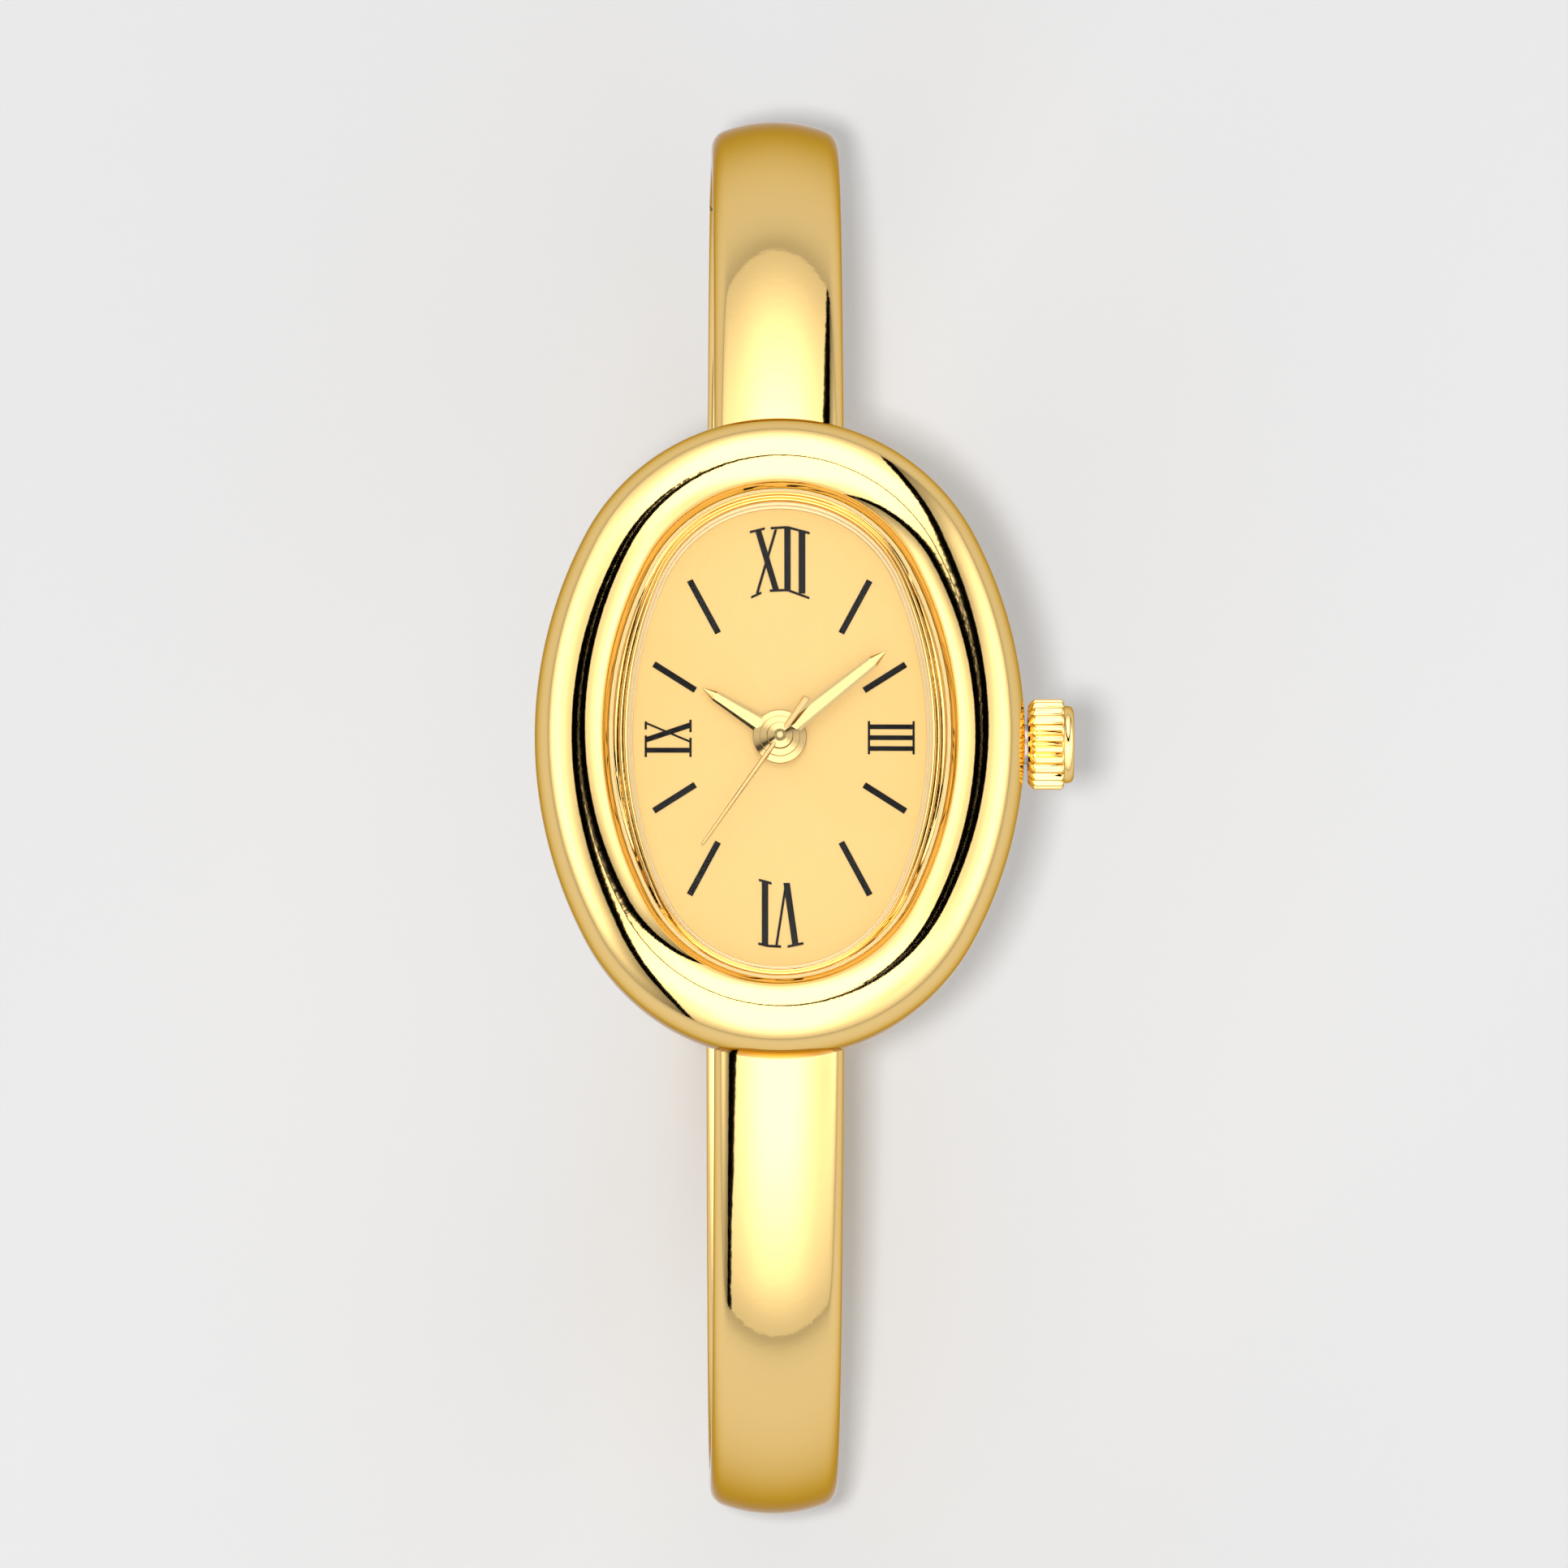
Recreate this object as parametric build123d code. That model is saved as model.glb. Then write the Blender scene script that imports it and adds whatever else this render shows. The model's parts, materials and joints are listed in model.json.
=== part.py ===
from build123d import *
import math
import os

# Oval bangle watch: polished oval case, domed crystal, dial and three hands,
# quartz movement with its gear train, keyless works, crown, and a rigid
# bangle that opens on a hinge and closes with a tongue and a push button.
# Millimetres. The origin is the centre of the back's flat outer face.
# +Z comes out of the dial, +Y points to twelve, +X to three o'clock.

# Fits shared by all pieces
press_gap = 0.01
running_gap = 0.03
fit_gap = 0.05
loose_gap = 0.1
overrun = 1.0

# Case outline, an oval of four tangent arcs
case_half_width = 9.8
case_half_length = 12.85
case_end_share = 0.898
case_end_radius = case_end_share * case_half_width

# Case section, insets measured inwards from the outline
case_foot_z = 0.3
case_foot_inset = 1.1
case_widest_z = 5.2
case_crest_z = 7.15
case_crest_inset = 1.75
case_lip_z = 6.2
case_lip_inset = 2.95
case_shoulder_z = 0.9
back_opening_inset = 1.75
cavity_inset = 2.25

# Back, with its snap rim and gasket
back_thickness = 0.55
back_edge_chamfer = 0.15
snap_rim_height = 0.75
snap_rim_width = 0.3
back_gasket_width = 0.35

# Battery and its clamp, stacked on the back
battery_radius = 2.9
battery_height = 1.65
battery_cap_height = 0.2
battery_cap_step = 0.45
clamp_thickness = 0.17
clamp_half_width = 0.6
clamp_end = 0.35
clamp_screw_head_height = 0.16
clamp_screw_head_radius = 0.35
clamp_screw_radius = 0.18
clamp_post_radius = 0.4
back_clearance = 0.07
screw_depth = 1.0

# Main plate
plate_inset = 3.6
plate_thickness = 0.7
plate_shelf = 0.2
centre_hole_radius = 0.38
pillar_radius = 0.35
stem_height = 0.4
motion_space = 0.9
holder_notch_gap = 0.15

# Dial side
dial_thickness = 0.4
dial_hole_radius = 0.75
dial_foot_radius = 0.3
dial_foot_length = 1.2
dial_ring_height = 0.75
dial_ring_step = 0.12
window_side_inset = 3.95
window_end_inset = 3.65
window_end_share = 0.855
ledge_thickness = 0.4
print_thickness = 0.03
crystal_gap = 0.15
crystal_gasket_height = 0.4
crystal_height = 1.15
crystal_dome_radius = 60.0

# Train bridge
bridge_thickness = 0.2
bridge_drop = 1.35
bridge_pad_radius = 0.6
bridge_screw_head_height = 0.18
bridge_screw_head_radius = 0.33
bridge_screw_radius = 0.2
jewel_radius = 0.3
jewel_thickness = 0.1

# Tooth form, in modules from the pitch circle and in shares of a tooth's pitch
tip_share = 0.95
root_share = 1.2
root_flank_share = 0.31
tip_flank_share = 0.12

# Going train
wheel_thickness = 0.12
arbor_radius = 0.1
seconds_arbor_radius = 0.12
pivot_depth = 0.15
seconds_module = 0.08
seconds_teeth = 50
intermediate_pinion_leaves = 10
third_module = 0.07
third_teeth = 60
seconds_pinion_leaves = 8
third_pinion_leaves = 8
centre_teeth = 64
rotor_module = 0.07
intermediate_teeth = 48
rotor_pinion_leaves = 8
third_bearing = 143.0
intermediate_bearing = 60.0
rotor_bearing = 30.0
seconds_wheel_lift = 0.1
third_wheel_lift = 0.18
intermediate_wheel_lift = 0.11
centre_wheel_lift = 0.15
pinion_lift = 0.08
long_pinion = 0.4
short_pinion = 0.32
centre_hub_radius = 0.55
rotor_magnet_radius = 0.6
rotor_magnet_height = 0.35

# Motion works under the dial
motion_module = 0.1
cannon_leaves = 10
cannon_radius = 0.35
cannon_wall = 0.2
cannon_flange_radius = 0.5
minute_wheel_teeth = 30
minute_pinion_leaves = 8
hour_wheel_teeth = 32
hour_pipe_wall = 0.22
setting_wheel_teeth = 14
minute_bearing = 56.0
motion_wheel_thickness = 0.15
motion_post_radius = 0.15
motion_collar = 0.08
washer_width = 0.6
hour_wheel_lift = 0.2

# Hands
hour_hand_gap = 0.25
hand_gap = 0.15
hand_thickness = 0.15
seconds_hand_thickness = 0.1
hour_hand_length = 3.66
hour_hand_hub = 1.07
hour_hand_root = 0.84
hour_hand_neck = 0.39
hour_hand_point = 0.6
hour_hand_angle = 302.3
minute_hand_length = 5.48
minute_hand_hub = 0.81
minute_hand_root = 0.76
minute_hand_neck = 0.46
minute_hand_point = 0.7
minute_hand_angle = 51.1
second_hand_length = 5.47
second_hand_hub = 0.52
second_hand_root = 0.2
second_hand_neck = 0.13
second_hand_point = 0.15
second_hand_tail = 1.82
second_hand_tail_width = 0.31
second_hand_angle = 215.1

# Electrical parts
stator_thickness = 0.3
stator_ring_radius = 1.25
stator_bore_radius = 0.7
stator_bar = 0.6
coil_y = 6.2
coil_half_span = 3.9
coil_core_half_width = 0.35
coil_core_thickness = 0.28
coil_end = 0.7
winding_radius = 0.78
winding_half_length = 3.0
board_thickness = 0.2
board_inset = 4.0
chip_width = 1.0
chip_length = 1.4
chip_height = 0.4
quartz_radius = 0.5
quartz_length = 3.5
quartz_x = -4.7

# Crown and keyless works
crown_radius = 1.825
crown_gap = 0.15
crown_grip_length = 1.45
crown_cap_length = 0.4
crown_cap_radius = 1.55
crown_cap_round = 0.25
crown_flutes = 24
crown_flute_depth = 0.18
flute_root_share = 0.30
flute_tip_share = 0.17
crown_chamfer = 0.25
crown_recess_radius = 1.15
crown_recess_depth = 1.25
crown_pull = 0.6
tube_radius = 0.8
tube_bore_radius = 0.5
tube_reach = 2.4
tube_length = 3.5
crown_gasket_start = 0.2
crown_gasket_length = 0.3
stem_radius = 0.42
stem_crown_depth = 1.7
stem_square = 0.5
stem_square_start = 3.3
stem_shoulder = 4.95
stem_groove_start = 5.05
stem_groove_width = 0.35
stem_groove_radius = 0.22
stem_pilot_start = 2.3
stem_pilot_radius = 0.15
stem_block_overlap = 0.15
stem_block_length = 0.9
stem_block_half_width = 1.1
stem_block_drop = 0.3
stem_block_rise = 0.65
keyless_slot_half_width = 0.8
clutch_start = 3.75
clutch_length = 1.0
clutch_radius = 0.65
clutch_teeth = 10
clutch_travel = 0.35
clutch_groove_start = 0.5
clutch_groove_width = 0.3
clutch_groove_radius = 0.42
clutch_tooth_depth = 0.12
clutch_tooth_gap = 0.16
lever_reach = 2.1
lever_pin_radius = 0.12
lever_thickness = 0.15
lever_lift = 0.45
lever_head_radius = 0.28
keyless_post_radius = 0.2
keyless_hub_radius = 0.4
yoke_reach = 2.6
yoke_finger = 0.16
yoke_overreach = 0.12
yoke_thickness = 0.14
yoke_lift = 0.16

# Bangle, an oval ring of four arcs about the X direction
bangle_half_length = 28.6
bangle_height_share = 0.8566
bangle_end_share = 0.7692
bangle_half_height = bangle_height_share * bangle_half_length
bangle_end_radius = bangle_end_share * bangle_half_length
bangle_thickness = 2.0
bangle_width = 5.2
bangle_dome_radius = 6.0
bangle_outer_round = 0.8
bangle_inner_round = 0.3
bangle_level = 3.3
arm_root_depth = 2.0
lug_pin_depth = 1.1
lug_pin_radius = 0.3
lug_pin_half_length = 3.05
seam_drop_angle = 14.0
seam_gap = 0.12

# Bangle hinge
knuckle_radius = 0.96
knuckle_half_width = 0.85
knuckle_gap = 0.06
hinge_relief_radius = 1.3
hinge_pin_radius = 0.5
hinge_pin_half_length = 2.3

# Bangle clasp, heights measured up from the seam
tongue_half_width = 1.0
tongue_thickness = 0.55
tongue_height = 2.6
tongue_root = 0.7
tongue_offset = 0.15
notch_height = 1.35
notch_size = 0.5
notch_depth = 0.3
latch_arm_width = 0.35
latch_arm_gap = 0.3
latch_nose_reach = 0.12
latch_nose_height = 0.3
latch_nose_width = 0.4
latch_bar_height = 0.55
latch_bar_end = 1.3
button_height = 0.35
button_travel = 0.4
button_end_x = 2.5
clasp_clearance = 0.1
latch_bar_gap = 0.25

# Levels worked out from the stack, from the back to the crystal
snap_rim_top = back_thickness + snap_rim_height
holder_z = snap_rim_top + loose_gap
clamp_z = back_thickness + back_clearance + clamp_screw_head_height
battery_z = clamp_z + clamp_thickness
plate_z = battery_z + battery_height
plate_top = plate_z + plate_thickness
stem_z = plate_z + stem_height
dial_z = plate_top + motion_space
dial_top = dial_z + dial_thickness
ledge_z = dial_top + dial_ring_height
crystal_z = ledge_z + ledge_thickness
bridge_top = plate_z - bridge_drop
bridge_z = bridge_top - bridge_thickness
seconds_wheel_z = bridge_top + seconds_wheel_lift
third_wheel_z = seconds_wheel_z + wheel_thickness + third_wheel_lift
intermediate_wheel_z = third_wheel_z + wheel_thickness + intermediate_wheel_lift
upper_train_z = intermediate_wheel_z + wheel_thickness
centre_wheel_z = upper_train_z + centre_wheel_lift
minute_wheel_z = plate_top + loose_gap
hour_wheel_z = minute_wheel_z + motion_wheel_thickness + hour_wheel_lift
hour_wheel_top = hour_wheel_z + motion_wheel_thickness
hour_hand_z = dial_top + hour_hand_gap
minute_hand_z = hour_hand_z + hand_thickness + hand_gap
second_hand_z = minute_hand_z + hand_thickness + hand_gap
arbor_top = second_hand_z + seconds_hand_thickness + fit_gap
plate_half_width = case_half_width - plate_inset
plate_half_length = case_half_length - plate_inset
window_half_width = case_half_width - window_side_inset
window_half_length = case_half_length - window_end_inset
window_end_radius = window_end_share * window_half_width
tube_inner_end = case_half_width - tube_reach
stem_outer_end = case_half_width + stem_crown_depth
arm_root_y = case_half_length - arm_root_depth
lug_pin_y = case_half_length - lug_pin_depth
stem_block_start = plate_half_width - stem_block_overlap

# Places in the movement, as shares of the main plate's half width and half length
pillar_shares = [(0.032, 0.459), (0.629, 0.153), (-0.419, -0.208)]
battery_y_share = -0.568
clamp_post_share = 0.605
dial_foot_shares = [(-0.581, 0.546), (0.581, -0.546)]
chip_shares = (-0.71, -0.24)
board_x_share = -0.492
board_y_shares = (-0.492, 0.49)
quartz_y_share = 0.245

# Roman numerals as strokes (x0, y0, x1, y1, width), shares of their half height
twelve_stroke_shares = [
    (-0.600, 0.910, -0.106, -0.750, 0.176),
    (-0.106, 0.934, -0.625, -0.865, 0.079),
    (0.215, 0.980, 0.215, -0.775, 0.178),
    (0.616, 0.910, 0.616, -0.865, 0.187),
    (-0.830, 0.856, -0.410, 0.961, 0.070),
    (-0.252, 0.970, 0.212, 0.998, 0.070),
    (0.212, 0.998, 0.831, 0.829, 0.070),
    (-0.793, -0.975, -0.505, -0.843, 0.070),
    (-0.279, -0.786, 0.214, -0.767, 0.070),
    (0.214, -0.767, 0.822, -0.993, 0.070),
]
six_stroke_shares = [
    (-0.405, 0.889, -0.405, -0.889, 0.178),
    (-0.576, 0.920, -0.222, 0.819, 0.070),
    (-0.595, -0.854, -0.324, -0.920, 0.070),
    (-0.324, -0.920, 0.040, -0.938, 0.070),
    (0.180, 0.836, -0.090, -0.900, 0.070),
    (0.190, 0.836, 0.433, -0.872, 0.180),
    (0.215, -0.938, 0.656, -0.845, 0.070),
]
three_stroke_shares = [
    (-1.000, 0.490, 1.000, 0.490, 0.210),
    (-1.000, 0.000, 1.000, 0.000, 0.210),
    (-1.000, -0.490, 1.000, -0.490, 0.210),
    (-1.000, 0.750, -1.000, -0.750, 0.100),
    (1.000, 0.750, 1.000, -0.750, 0.100),
]
nine_stroke_shares = [
    (-0.980, -0.107, 0.966, 0.549, 0.250),
    (-0.960, 0.634, 0.948, -0.180, 0.095),
    (-0.980, -0.579, 0.980, -0.579, 0.220),
    (-1.000, 0.720, -1.000, 0.360, 0.100),
    (-1.000, 0.089, -1.000, -0.884, 0.100),
    (1.000, 0.796, 1.000, 0.236, 0.100),
    (1.000, -0.018, 1.000, -0.884, 0.100),
]
numeral_half_height = 1.44
numeral_y = 7.04
side_numeral_half_height = 0.89
side_numeral_x = 4.44
steep_bar_ends = ((3.586, 6.32), (2.45, 4.20))
flat_bar_ends = ((5.01, 2.95), (3.36, 1.90))
bar_width = 0.25


def save(shape, node):
    """Write one named piece."""
    shape.label = node
    export_step(shape, f"parts/{node}.step")


def oval(half_width, half_length, end_radius):
    """A face bounded by four tangent arcs, longest along Y."""
    end_y = half_length - end_radius
    side_radius = (end_y**2 + half_width**2 - end_radius**2) / (2 * (half_width - end_radius))
    side_x = side_radius - half_width
    tangent = math.degrees(math.atan2(end_y, side_x))
    edges = [
        CenterArc((-side_x, 0), side_radius, -tangent, 2 * tangent),
        CenterArc((0, end_y), end_radius, tangent, 180 - 2 * tangent),
        CenterArc((side_x, 0), side_radius, 180 - tangent, 2 * tangent),
        CenterArc((0, -end_y), end_radius, 180 + tangent, 180 - 2 * tangent),
    ]
    return make_face(edges)


def case_oval(inset):
    """The case outline drawn in by an inset."""
    return oval(case_half_width - inset, case_half_length - inset, case_end_radius - inset)


def window_oval(grow):
    """The dial window, grown outwards."""
    return oval(window_half_width + grow, window_half_length + grow, window_end_radius + grow)


def slab(face, low, high):
    """A flat face made solid between two levels."""
    return Pos(0, 0, low) * extrude(face, high - low)


def post(x, y, low, high, radius):
    """An upright cylinder between two levels."""
    return Pos(x, y, (low + high) / 2) * Cylinder(radius, high - low)


def rod(radius, low, high, y, z):
    """A cylinder along X between two ends."""
    return Pos((low + high) / 2, y, z) * Rot(0, 90, 0) * Cylinder(radius, high - low)


def block(x_ends, y_ends, z_ends):
    """A box between pairs of limits."""
    ends = (x_ends, y_ends, z_ends)
    middle = [(low + high) / 2 for low, high in ends]
    return Pos(*middle) * Box(*[high - low for low, high in ends])


def around_case(section):
    """Turn a section face, drawn for a given arc radius, round the case outline."""
    end_y = case_half_length - case_end_radius
    side_radius = (end_y**2 + case_half_width**2 - case_end_radius**2) / (
        2 * (case_half_width - case_end_radius)
    )
    side_x = side_radius - case_half_width
    tangent = math.degrees(math.atan2(end_y, side_x))
    solid = None
    for centre, radius, start, sweep in [
        ((-side_x, 0), side_radius, -tangent, 2 * tangent),
        ((0, end_y), case_end_radius, tangent, 180 - 2 * tangent),
        ((side_x, 0), side_radius, 180 - tangent, 2 * tangent),
        ((0, -end_y), case_end_radius, 180 + tangent, 180 - 2 * tangent),
    ]:
        turned = revolve(Plane.XZ * section(radius), Axis.Z, sweep)
        piece = Pos(*centre, 0) * Rot(0, 0, start) * turned
        solid = piece if solid is None else solid + piece
    return solid


def case_section(radius):
    """The case wall: rounded foot, swelling side, crest and inner lip."""

    def quarter(centre_inset, centre_z, run, rise, start):
        centre = (radius - centre_inset, centre_z)
        return EllipticalCenterArc(centre, run, rise, start, arc_size=90)

    foot = quarter(
        case_foot_inset, case_widest_z, case_foot_inset, case_widest_z - case_foot_z, -90
    )
    side = quarter(
        case_crest_inset, case_widest_z, case_crest_inset, case_crest_z - case_widest_z, 0
    )
    lip = quarter(
        case_crest_inset,
        case_lip_z,
        case_lip_inset - case_crest_inset,
        case_crest_z - case_lip_z,
        90,
    )
    inside = Polyline(
        (radius - case_lip_inset, case_lip_z),
        (radius - case_lip_inset, ledge_z),
        (radius - cavity_inset, ledge_z),
        (radius - cavity_inset, case_shoulder_z),
        (radius - back_opening_inset, case_shoulder_z),
        (radius - back_opening_inset, case_foot_z),
        (radius - case_foot_inset, case_foot_z),
    )
    return make_face([foot, side, lip, *inside.edges()])


# Bangle geometry: arcs in the YZ plane, angles from +Z towards +Y
ring_end_y = bangle_half_length - bangle_end_radius
ring_flat_radius = (ring_end_y**2 + bangle_half_height**2 - bangle_end_radius**2) / (
    2 * (bangle_half_height - bangle_end_radius)
)
ring_flat_drop = ring_flat_radius - bangle_half_height
ring_tangent = math.degrees(math.atan2(ring_end_y, ring_flat_drop))
ring_z = bangle_level + ring_flat_drop - math.sqrt(ring_flat_radius**2 - case_half_length**2)
ring_arcs = [
    ((0, ring_z - ring_flat_drop), ring_flat_radius, -ring_tangent, ring_tangent),
    ((ring_end_y, ring_z), bangle_end_radius, ring_tangent, 180 - ring_tangent),
    ((0, ring_z + ring_flat_drop), ring_flat_radius, 180 - ring_tangent, 180 + ring_tangent),
    ((-ring_end_y, ring_z), bangle_end_radius, 180 + ring_tangent, 360 - ring_tangent),
    ((0, ring_z - ring_flat_drop), ring_flat_radius, 360 - ring_tangent, 360 + ring_tangent),
]


def band_section(radius, grow):
    """The bangle's section: domed outside, rounded edges, flat inside."""
    half = bangle_width / 2 + grow
    dome = bangle_dome_radius + grow
    crown = radius + grow
    edge = crown - dome + math.sqrt(dome**2 - half**2)
    floor = radius - bangle_thickness - grow
    outside = ThreePointArc((half, edge), (0, crown), (-half, edge))
    sides = Polyline((-half, edge), (-half, floor), (half, floor), (half, edge))
    face = make_face([outside, *sides.edges()])
    outer = [v for v in face.vertices() if v.Y > radius - bangle_thickness / 2]
    face = fillet(outer, bangle_outer_round)
    inner = [v for v in face.vertices() if v.Y < floor + fit_gap]
    return fillet(inner, bangle_inner_round)


def band(start, end, grow=0):
    """A stretch of the bangle between two angles."""
    solid = None
    for (y, z), radius, low, high in ring_arcs:
        first = max(low, start)
        last = min(high, end)
        if last <= first:
            continue
        turn = math.radians(first)
        plane = Plane(
            origin=(0, y, z),
            x_dir=(1, 0, 0),
            z_dir=(0, -math.cos(turn), math.sin(turn)),
        )
        section = plane * band_section(radius, grow)
        piece = revolve(section, Axis((0, y, z), (-1, 0, 0)), last - first)
        solid = piece if solid is None else solid + piece
    return solid


def seam_centre(side):
    """Mid-thickness of the bangle at the seam on one side, as (y, z)."""
    drop = math.radians(seam_drop_angle)
    reach = bangle_end_radius - bangle_thickness / 2
    return side * (ring_end_y + reach * math.cos(drop)), ring_z - reach * math.sin(drop)


def toothed_face(teeth, module, turn=0):
    """A toothed outline with straight flanks."""
    pitch_radius = teeth * module / 2
    tip = pitch_radius + tip_share * module
    root = pitch_radius - root_share * module
    step = 360 / teeth
    corners = []
    for tooth in range(teeth):
        for radius, share in [
            (root, -root_flank_share),
            (tip, -tip_flank_share),
            (tip, tip_flank_share),
            (root, root_flank_share),
        ]:
            angle = math.radians(turn + (tooth + share) * step)
            corners.append((radius * math.cos(angle), radius * math.sin(angle)))
    return make_face(Polyline(*corners, close=True))


def gear(teeth, module, x, y, low, high, turn=0):
    """A toothed wheel between two levels."""
    return Pos(x, y, 0) * slab(toothed_face(teeth, module, turn), low, high)


def meshed_turn(turn, teeth, other_teeth, bearing):
    """The turn that puts a gap of the other gear on this gear's tooth."""
    lead = turn - bearing
    return bearing + 180 - lead * teeth / other_teeth + 180 / other_teeth


def polar(distance, bearing):
    """A place at a distance and bearing from the centre."""
    angle = math.radians(bearing)
    return distance * math.cos(angle), distance * math.sin(angle)


def on_plate(x_share, y_share):
    """A place given as shares of the main plate."""
    return x_share * plate_half_width, y_share * plate_half_length


# Gear centres
seconds_distance = (seconds_teeth + intermediate_pinion_leaves) * seconds_module / 2
third_distance = (third_teeth + seconds_pinion_leaves) * third_module / 2
centre_module = 2 * third_distance / (centre_teeth + third_pinion_leaves)
rotor_distance = (intermediate_teeth + rotor_pinion_leaves) * rotor_module / 2
motion_distance = (cannon_leaves + minute_wheel_teeth) * motion_module / 2
setting_distance = (minute_wheel_teeth + setting_wheel_teeth) * motion_module / 2
third_x, third_y = polar(third_distance, third_bearing)
intermediate_x, intermediate_y = polar(seconds_distance, intermediate_bearing)
rotor_dx, rotor_dy = polar(rotor_distance, rotor_bearing)
rotor_x = intermediate_x + rotor_dx
rotor_y = intermediate_y + rotor_dy
minute_x, minute_y = polar(motion_distance, minute_bearing)
setting_x = minute_x + math.sqrt(setting_distance**2 - minute_y**2)
battery_y = battery_y_share * plate_half_length
clamp_post_x = clamp_post_share * plate_half_width
lever_x = stem_groove_start + stem_groove_width / 2 + crown_pull / 2
groove_x = clutch_start + clutch_groove_start + clutch_groove_width / 2
yoke_x = groove_x - clutch_travel / 2


def case_shell():
    """Case: wall and lip turned in one, crystal ledge, band pockets, tube hole."""
    shell = around_case(case_section)
    rim = case_oval(case_lip_inset - loose_gap) - window_oval(2 * dial_ring_step)
    shell += slab(rim, ledge_z, crystal_z)
    inner_radius = ring_flat_radius - bangle_thickness - fit_gap
    root_angle = math.degrees(math.asin((arm_root_y - fit_gap) / inner_radius))
    shell -= band(root_angle, ring_tangent, fit_gap)
    shell -= band(360 - ring_tangent, 360 - root_angle, fit_gap)
    reach = lug_pin_half_length + press_gap
    low, high = lug_pin_levels()
    for side in (1, -1):
        shell -= rod(lug_pin_radius + press_gap, -reach, reach, side * lug_pin_y, (low + high) / 2)
    shell -= rod(tube_radius + press_gap, tube_inner_end, case_half_width + overrun, 0, stem_z)
    return shell


def lug_pin_levels():
    """Inside and outside levels of the bangle where the lug pins cross it."""
    centre_z = ring_z - ring_flat_drop
    inner_radius = ring_flat_radius - bangle_thickness
    low = centre_z + math.sqrt(inner_radius**2 - lug_pin_y**2)
    high = centre_z + math.sqrt(ring_flat_radius**2 - lug_pin_y**2)
    return low, high


def back_pieces():
    """Snap-on back and its gasket."""
    plate = slab(case_oval(back_opening_inset + fit_gap), 0, back_thickness)
    plate = chamfer(plate.faces().sort_by(Axis.Z)[0].edges(), back_edge_chamfer)
    rim_inset = cavity_inset + loose_gap
    rim = case_oval(rim_inset) - case_oval(rim_inset + snap_rim_width)
    save(plate + slab(rim, back_thickness, snap_rim_top), "case_back")
    seal_inset = back_opening_inset + loose_gap
    seal = case_oval(seal_inset) - case_oval(seal_inset + back_gasket_width)
    save(slab(seal, back_thickness, case_shoulder_z), "back_gasket")


def crystal_pieces():
    """Domed crystal and its gasket."""
    crystal_inset = case_lip_inset + crystal_gap
    top = crystal_z + crystal_height
    glass = slab(case_oval(crystal_inset), crystal_z, top)
    dome = Pos(0, 0, top - crystal_dome_radius) * Sphere(crystal_dome_radius)
    save(glass & dome, "crystal")
    seal = case_oval(case_lip_inset + press_gap) - case_oval(crystal_inset - press_gap)
    save(slab(seal, crystal_z, crystal_z + crystal_gasket_height), "crystal_gasket")


def dial_pieces():
    """Dial with its feet, stepped ring round it, and the printed markers."""
    dial_inset = cavity_inset + fit_gap + loose_gap
    dial = slab(case_oval(dial_inset) - Circle(dial_hole_radius), dial_z, dial_top)
    for shares in dial_foot_shares:
        x, y = on_plate(*shares)
        dial += post(x, y, dial_top - dial_foot_length - dial_thickness, dial_z, dial_foot_radius)
    save(dial, "dial")
    steps = 3
    step_height = dial_ring_height / steps
    ring = None
    for step in range(steps):
        face = case_oval(dial_inset) - window_oval(step * dial_ring_step)
        low = dial_top + step * step_height
        layer = slab(face, low, low + step_height)
        ring = layer if ring is None else ring + layer
    save(ring, "dial_ring")


def stroke(x0, y0, x1, y1, width):
    """A stroke with square ends, its width across the run."""
    half = width / 2
    if abs(x1 - x0) > abs(y1 - y0):
        corners = [(x0, y0 + half), (x0, y0 - half), (x1, y1 - half), (x1, y1 + half)]
    else:
        corners = [(x0 - half, y0), (x0 + half, y0), (x1 + half, y1), (x1 - half, y1)]
    return make_face(Polyline(*corners, close=True))


def numeral(stroke_shares, half_height, x, y):
    """A printed Roman numeral centred on a place of the dial."""
    solid = None
    for shares in stroke_shares:
        face = stroke(*[share * half_height for share in shares])
        piece = slab(face, dial_top, dial_top + print_thickness)
        solid = piece if solid is None else solid + piece
    return Pos(x, y, 0) * solid


def hour_markers():
    """Four numerals and eight bars, printed on the dial."""
    prints = [
        numeral(twelve_stroke_shares, numeral_half_height, 0, numeral_y),
        numeral(six_stroke_shares, numeral_half_height, 0, -numeral_y),
        numeral(three_stroke_shares, side_numeral_half_height, side_numeral_x, 0),
        numeral(nine_stroke_shares, side_numeral_half_height, -side_numeral_x, 0),
    ]
    for (x0, y0), (x1, y1) in (steep_bar_ends, flat_bar_ends):
        run = math.hypot(x1 - x0, y1 - y0)
        half_x = (y1 - y0) / run * bar_width / 2
        half_y = (x0 - x1) / run * bar_width / 2
        corners = [
            (x0 + half_x, y0 + half_y),
            (x0 - half_x, y0 - half_y),
            (x1 - half_x, y1 - half_y),
            (x1 + half_x, y1 + half_y),
        ]
        for flip_x in (1, -1):
            for flip_y in (1, -1):
                points = [(flip_x * x, flip_y * y) for x, y in corners]
                face = make_face(Polyline(*points, close=True))
                prints.append(slab(face, dial_top, dial_top + print_thickness))
    solids = [solid for item in prints for solid in item.solids()]
    save(Compound(children=solids), "hour_markers")


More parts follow.
